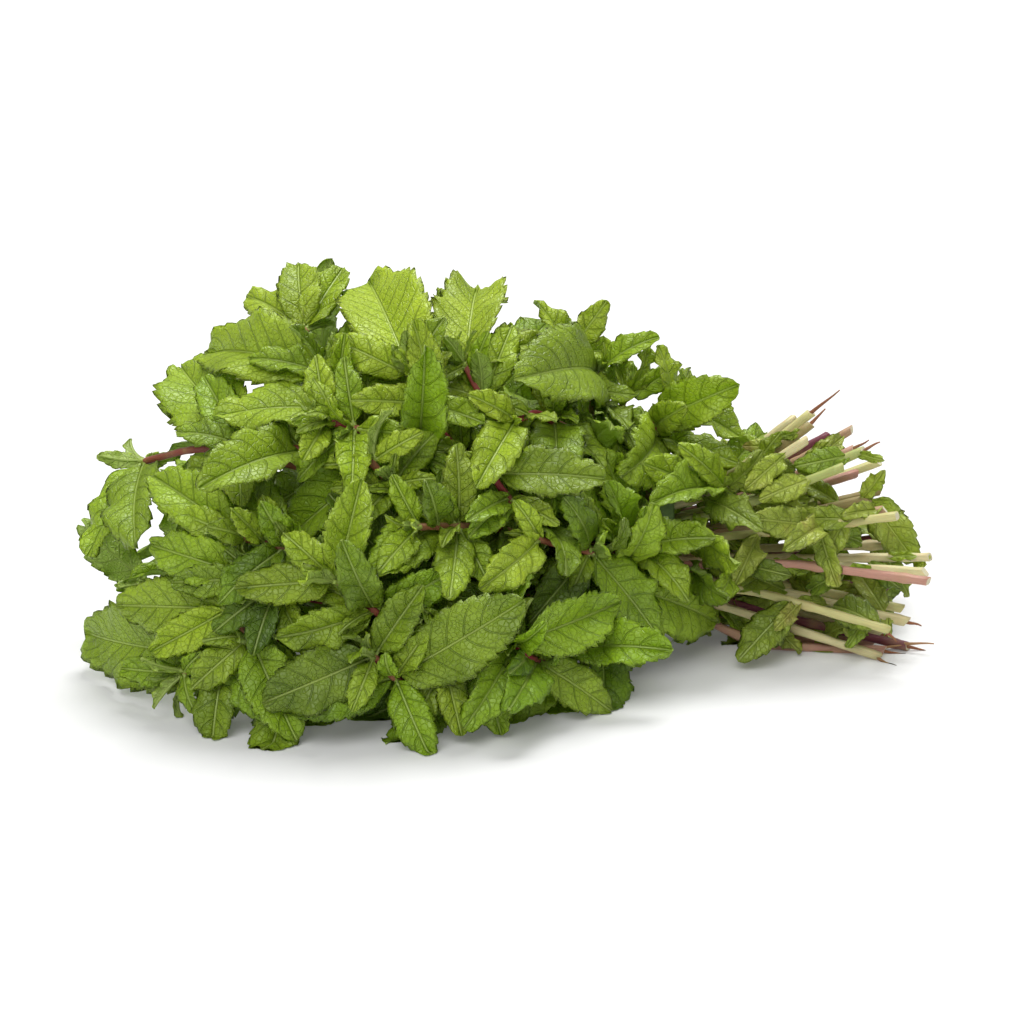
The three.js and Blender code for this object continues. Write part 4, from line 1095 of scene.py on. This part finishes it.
class Shades:
    """Short names for the shader nodes that the materials use."""

    def __init__(self, name):
        self.material = bpy.data.materials.new(name)
        self.material.use_nodes = True
        self.tree = self.material.node_tree
        self.tree.nodes.clear()

    def math(self, operation, a, b=0.0, c=0.0, clamp=False):
        made = node(self.tree, "ShaderNodeMath", {0: a, 1: b, 2: c}, operation=operation, use_clamp=clamp)
        return made.outputs[0]

    def times(self, a, b):
        return self.math("MULTIPLY", a, b)

    def plus(self, a, b):
        return self.math("ADD", a, b)

    def most(self, a, b):
        return self.math("MAXIMUM", a, b)

    def vector(self, x, y, z):
        return node(self.tree, "ShaderNodeCombineXYZ", {0: x, 1: y, 2: z}).outputs[0]

    def flat_uv(self):
        """How far along the piece a point is, and how far across or round it."""
        uv = node(self.tree, "ShaderNodeUVMap", uv_map="flat").outputs[0]
        parts = node(self.tree, "ShaderNodeSeparateXYZ", {"Vector": uv})
        return parts.outputs[0], parts.outputs[1]

    def value(self, name):
        return node(self.tree, "ShaderNodeAttribute", attribute_name=name).outputs["Fac"]

    def ramp(self, value, low, high, at_low=0.0, at_high=1.0):
        inputs = {"Value": value, "From Min": low, "From Max": high, "To Min": at_low, "To Max": at_high}
        return node(self.tree, "ShaderNodeMapRange", inputs, interpolation_type="SMOOTHSTEP").outputs[0]

    def mix(self, share, a, b, blend="MIX"):
        made = node(self.tree, "ShaderNodeMix", data_type="RGBA", blend_type=blend, clamp_factor=True)
        for socket, value in ((made.inputs[0], share), (made.inputs[6], a), (made.inputs[7], b)):
            if isinstance(value, bpy.types.NodeSocket):
                self.tree.links.new(value, socket)
            else:
                socket.default_value = (*value, 1.0) if isinstance(value, tuple) else value
        return made.outputs[2]

    def noise(self, vector, scale, detail=3.0, roughness=0.55):
        inputs = {"Vector": vector, "Scale": scale, "Detail": detail, "Roughness": roughness}
        return node(self.tree, "ShaderNodeTexNoise", inputs).outputs["Fac"]

    def place(self):
        return node(self.tree, "ShaderNodeTexCoord").outputs["Object"]

    def bump(self, height, strength, distance):
        inputs = {"Height": height, "Strength": strength, "Distance": distance}
        return node(self.tree, "ShaderNodeBump", inputs).outputs[0]

    def surface(self, shader):
        out = node(self.tree, "ShaderNodeOutputMaterial")
        self.tree.links.new(shader, out.inputs["Surface"])
        return self.material


def leaf_material():
    s = Shades("mint_leaf")
    color_of = LEAF_COLORS
    along, cross = s.flat_uv()
    flat = s.math("ABSOLUTE", s.math("MULTIPLY_ADD", cross, 2.0, -1.0))
    span = s.value("span")
    across = s.times(flat, span)
    swept = s.math("SUBTRACT", along, s.times(s.math("POWER", flat, 1.3), VEIN_SWEEP))
    long = s.value("long")
    veins = s.value("veins")
    to_vein = s.math("PINGPONG", s.times(swept, veins), 0.5)
    to_vein = s.times(to_vein, s.math("DIVIDE", long, veins))
    rib = s.ramp(across, 0.18, 0.62, 1.0, 0.0)
    side_vein = s.times(s.ramp(to_vein, 0.10, 0.42, 1.0, 0.0), s.ramp(flat, 0.55, 1.0, 1.0, 0.25))
    signed = s.times(s.math("MULTIPLY_ADD", cross, 2.0, -1.0), span)
    sheet = s.vector(s.times(along, long), signed, s.times(s.value("shade"), 91.0))
    cell_inputs = {"Vector": sheet, "Scale": 0.62, "Randomness": 0.9}
    cells = node(s.tree, "ShaderNodeTexVoronoi", cell_inputs, feature="DISTANCE_TO_EDGE")
    net = s.ramp(cells.outputs["Distance"], 0.0, 0.13, 1.0, 0.0)
    place = s.place()
    cloud = s.noise(place, 70.0, 4.0)
    fine = s.noise(place, 900.0, 3.0)
    tone_and_painted_top_light, wilt, under, shade = s.value("tone_and_painted_top_light"), s.value("wilt"), s.value("under"), s.value("shade")
    freshness = s.ramp(s.plus(s.times(shade, 0.5), cloud), 0.40, 1.0)
    fresh = s.mix(freshness, color_of["deep_and_groove_shade"], color_of["fresh"])
    # Painted light: the tone, raised for leaves that stand higher, moves the colour towards the light young
    # green; the rest of the tone is a leaf's age and a random share
    color = s.mix(s.times(tone_and_painted_top_light, s.ramp(cloud, 0.25, 0.75, 0.75, 1.1)), fresh, color_of["young"])
    color = s.mix(s.times(s.ramp(fine, 0.35, 0.7), 0.16), color, color_of["deep_and_groove_shade"])
    # Painted shade: the vein lines and the net between them are darkened towards the deep green, as if
    # shadowed in their grooves; on the underside this is mostly covered by the underside colour and its pale
    # veins
    lines = s.most(side_vein, s.times(net, 0.22))
    color = s.mix(s.times(lines, 0.30), color, color_of["deep_and_groove_shade"])
    color = s.mix(s.times(under, 0.66), color, color_of["under"])
    pale = s.most(s.times(rib, 0.46), s.times(s.times(lines, under), 0.4))
    color = s.mix(pale, color, color_of["rib"])
    color = s.mix(s.times(wilt, s.ramp(cloud, 0.3, 0.7, 0.45, 1.0)), color, color_of["wilted"])
    spots = s.ramp(s.plus(cloud, s.times(wilt, 0.25)), 0.72, 0.86)
    rot = s.times(spots, s.ramp(wilt, 0.3, 0.8))
    color = s.mix(s.times(rot, 0.7), color, color_of["spent"])
    valley = s.most(s.most(side_vein, s.times(net, 0.3)), rib)
    relief = s.times(valley, s.ramp(under, 0.4, 0.6, -1.0, 1.0))
    relief = s.plus(relief, s.times(fine, 0.3))
    normal = s.bump(relief, 0.9, 0.0008)
    rough = s.plus(s.times(fine, 0.16), 0.33)
    skin = node(s.tree, "ShaderNodeBsdfPrincipled", {
        "Base Color": color, "Roughness": rough, "Normal": normal, "Specular IOR Level": 0.62,
    })
    glow = node(s.tree, "ShaderNodeBsdfTranslucent", {
        "Color": s.mix(0.6, color, color_of["glow"]), "Normal": normal,
    })
    both = node(s.tree, "ShaderNodeMixShader", {"Fac": 0.34, 1: skin.outputs[0], 2: glow.outputs[0]})
    return s.surface(both.outputs[0])


def stem_material():
    s = Shades("mint_stem")
    shares = {k: s.value(name) for k, name in enumerate(("red", "green", "blue"))}
    own = node(s.tree, "ShaderNodeCombineColor", shares).outputs[0]
    own = node(s.tree, "ShaderNodeGamma", {"Color": own, "Gamma": 2.2}).outputs[0]
    along, around = s.flat_uv()
    streak = s.vector(s.times(along, 6.0), s.times(around, 26.0), s.times(s.value("seed"), 40.0))
    lines = s.noise(streak, 1.4, 4.0, 0.6)
    patch = s.noise(s.place(), 90.0, 3.0)
    color = s.mix(s.times(s.ramp(lines, 0.45, 0.75), 0.30), own, STEM_COLORS["streak"])
    color = s.mix(s.times(s.ramp(patch, 0.50, 0.78), 0.35), color, STEM_COLORS["patch"])
    color = s.mix(s.times(s.value("knot"), 0.3), color, STEM_COLORS["knot"])
    color = s.mix(s.value("pith"), color, STEM_COLORS["pith"])
    normal = s.bump(s.plus(lines, s.times(patch, 0.4)), 0.5, 0.0004)
    skin = node(s.tree, "ShaderNodeBsdfPrincipled", {
        "Base Color": color, "Roughness": s.math("MULTIPLY_ADD", lines, 0.2, 0.38), "Normal": normal,
        "Specular IOR Level": 0.4, "Subsurface Weight": 0.08, "Subsurface Scale": 0.002,
    })
    return s.surface(skin.outputs[0])


def band_material():
    s = Shades("band_rubber")
    grain = s.noise(s.place(), 600.0, 4.0)
    color = s.mix(s.ramp(grain, 0.3, 0.7), *BAND_COLORS)
    skin = node(s.tree, "ShaderNodeBsdfPrincipled", {
        "Base Color": color, "Roughness": s.math("MULTIPLY_ADD", grain, 0.2, 0.5),
        "Normal": s.bump(grain, 0.3, 0.0003),
    })
    return s.surface(skin.outputs[0])


def add_twigs(skin, stem, i, extra):
    """The dry twigs and rootlets at a stem's cut end; stems with extra ones have longer ones too."""
    end, away = stem["corners"][0], unit(stem["corners"][0] - stem["corners"][1])
    for k in range(extra.get(i, int(chance(i + 611) * 1.25))):
        draw = [chance(i * 17 + k * 5 + m + 620) - 0.5 for m in range(3)]
        reach = between(4, 9, chance(i * 3 + k + 640)) * (1.5 if i in extra else 1.0)
        back = away * -(1.5 + 3 * k)
        reach = min(reach, max(2.5, (BOX_END - (end + back)[0]) / max(away[0], 0.3)))
        way = away + np.array([0.2, 0.7, 0.7]) * draw
        bend = np.array([0.1, 0.5, 0.5]) * draw[::-1]
        add_twig(skin, end + back, way, reach, TWIG_WIDTH, bend, TWIG_LOOKS[k % len(TWIG_LOOKS)])


BOX_END = cad_high[0] * 1000 - ORIGIN_SHIFT[0] + 5
stems = stem_paths()
cuts = [stem["corners"][0] for stem in stems]
low_ends = sorted(range(len(stems)), key=lambda i: cuts[i][2] + cuts[i][1] * 0.3)[:3]
high_ends = sorted(range(len(stems)), key=lambda i: -cuts[i][2])[:2]
twig_counts = {**{i: 2 for i in low_ends}, **{i: 1 for i in high_ends}}
leaves, missing = grown_leaves(stems)
for leaf in leaves:
    close_up(leaf)
leaves += added_leaves(stems, leaves, missing)
leaf_look, stem_look = leaf_material(), stem_material()
for i, stem in enumerate(stems):
    name = f"sprig_{i + 1:02d}"
    shaft = Skin()
    add_stem(shaft, stem, i)
    add_twigs(shaft, stem, i, twig_counts)
    made = [shaft.piece(f"{name}_stem", stem_look)]
    own = [leaf for leaf in leaves if leaf["sprig"] == i]
    if own:
        blades = Skin()
        for leaf in own:
            add_leaf(blades, leaf)
        made.append(blades.piece(f"{name}_leaves", leaf_look))
    for piece in made:
        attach(piece, "root")
        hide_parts(name)

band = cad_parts["band"]
band.data.materials.clear()
band.data.materials.append(band_material())

# Floor, light and camera
floor_mesh = bpy.data.meshes.new("floor")
floor_corners = [(x * FLOOR, y * FLOOR, 0) for x, y in ((-1, -1), (1, -1), (1, 1), (-1, 1))]
floor_mesh.from_pydata(floor_corners, [], [(0, 1, 2, 3)])
floor = bpy.data.objects.new("floor", floor_mesh)
bpy.context.scene.collection.objects.link(floor)
paper = Shades("paper")
paper_skin = node(paper.tree, "ShaderNodeBsdfPrincipled", {
    "Base Color": (0.74, 0.74, 0.74, 1.0), "Roughness": 0.9, "Specular IOR Level": 0.0,
    "Emission Color": (1.0, 1.0, 1.0, 1.0), "Emission Strength": 0.08,
})
floor_mesh.materials.append(paper.surface(paper_skin.outputs[0]))

world = bpy.data.worlds.new("studio")
world.use_nodes = True
world.node_tree.nodes["Background"].inputs[0].default_value = (1.0, 1.0, 1.0, 1.0)
world.node_tree.nodes["Background"].inputs[1].default_value = 0.30
bpy.context.scene.world = world


def soft_sun(name, heading, height, spread, strength):
    """A wide soft light from a heading and height in degrees: 0 is the viewer's side, 90 the right."""
    data = bpy.data.lights.new(name, "SUN")
    data.angle, data.energy = math.radians(spread), strength
    lamp = bpy.data.objects.new(name, data)
    turn, rise = math.radians(heading), math.radians(height)
    way = Vector((math.sin(turn) * math.cos(rise), -math.cos(turn) * math.cos(rise), math.sin(rise)))
    lamp.rotation_euler = way.to_track_quat("Z", "Y").to_euler()
    bpy.context.scene.collection.objects.link(lamp)


soft_sun("top", 162.0, 64.0, 32.0, 2.9)
soft_sun("front", -20.0, 50.0, 45.0, 1.6)

camera_data = bpy.data.cameras.new("camera")
camera_data.lens, camera_data.sensor_width = VIEW["lens"], VIEW["sensor"]
camera_data.clip_start, camera_data.clip_end = 0.05, 30.0
camera = bpy.data.objects.new("camera", camera_data)
camera.location = (VIEW["target"] + ORIGIN_SHIFT + TO_VIEWER * VIEW["distance"]) / 1000
camera.rotation_euler = (math.pi / 2 - TILT, 0.0, 0.0)
bpy.context.scene.collection.objects.link(camera)
bpy.context.scene.camera = camera
bpy.context.scene.view_settings.view_transform = "Standard"
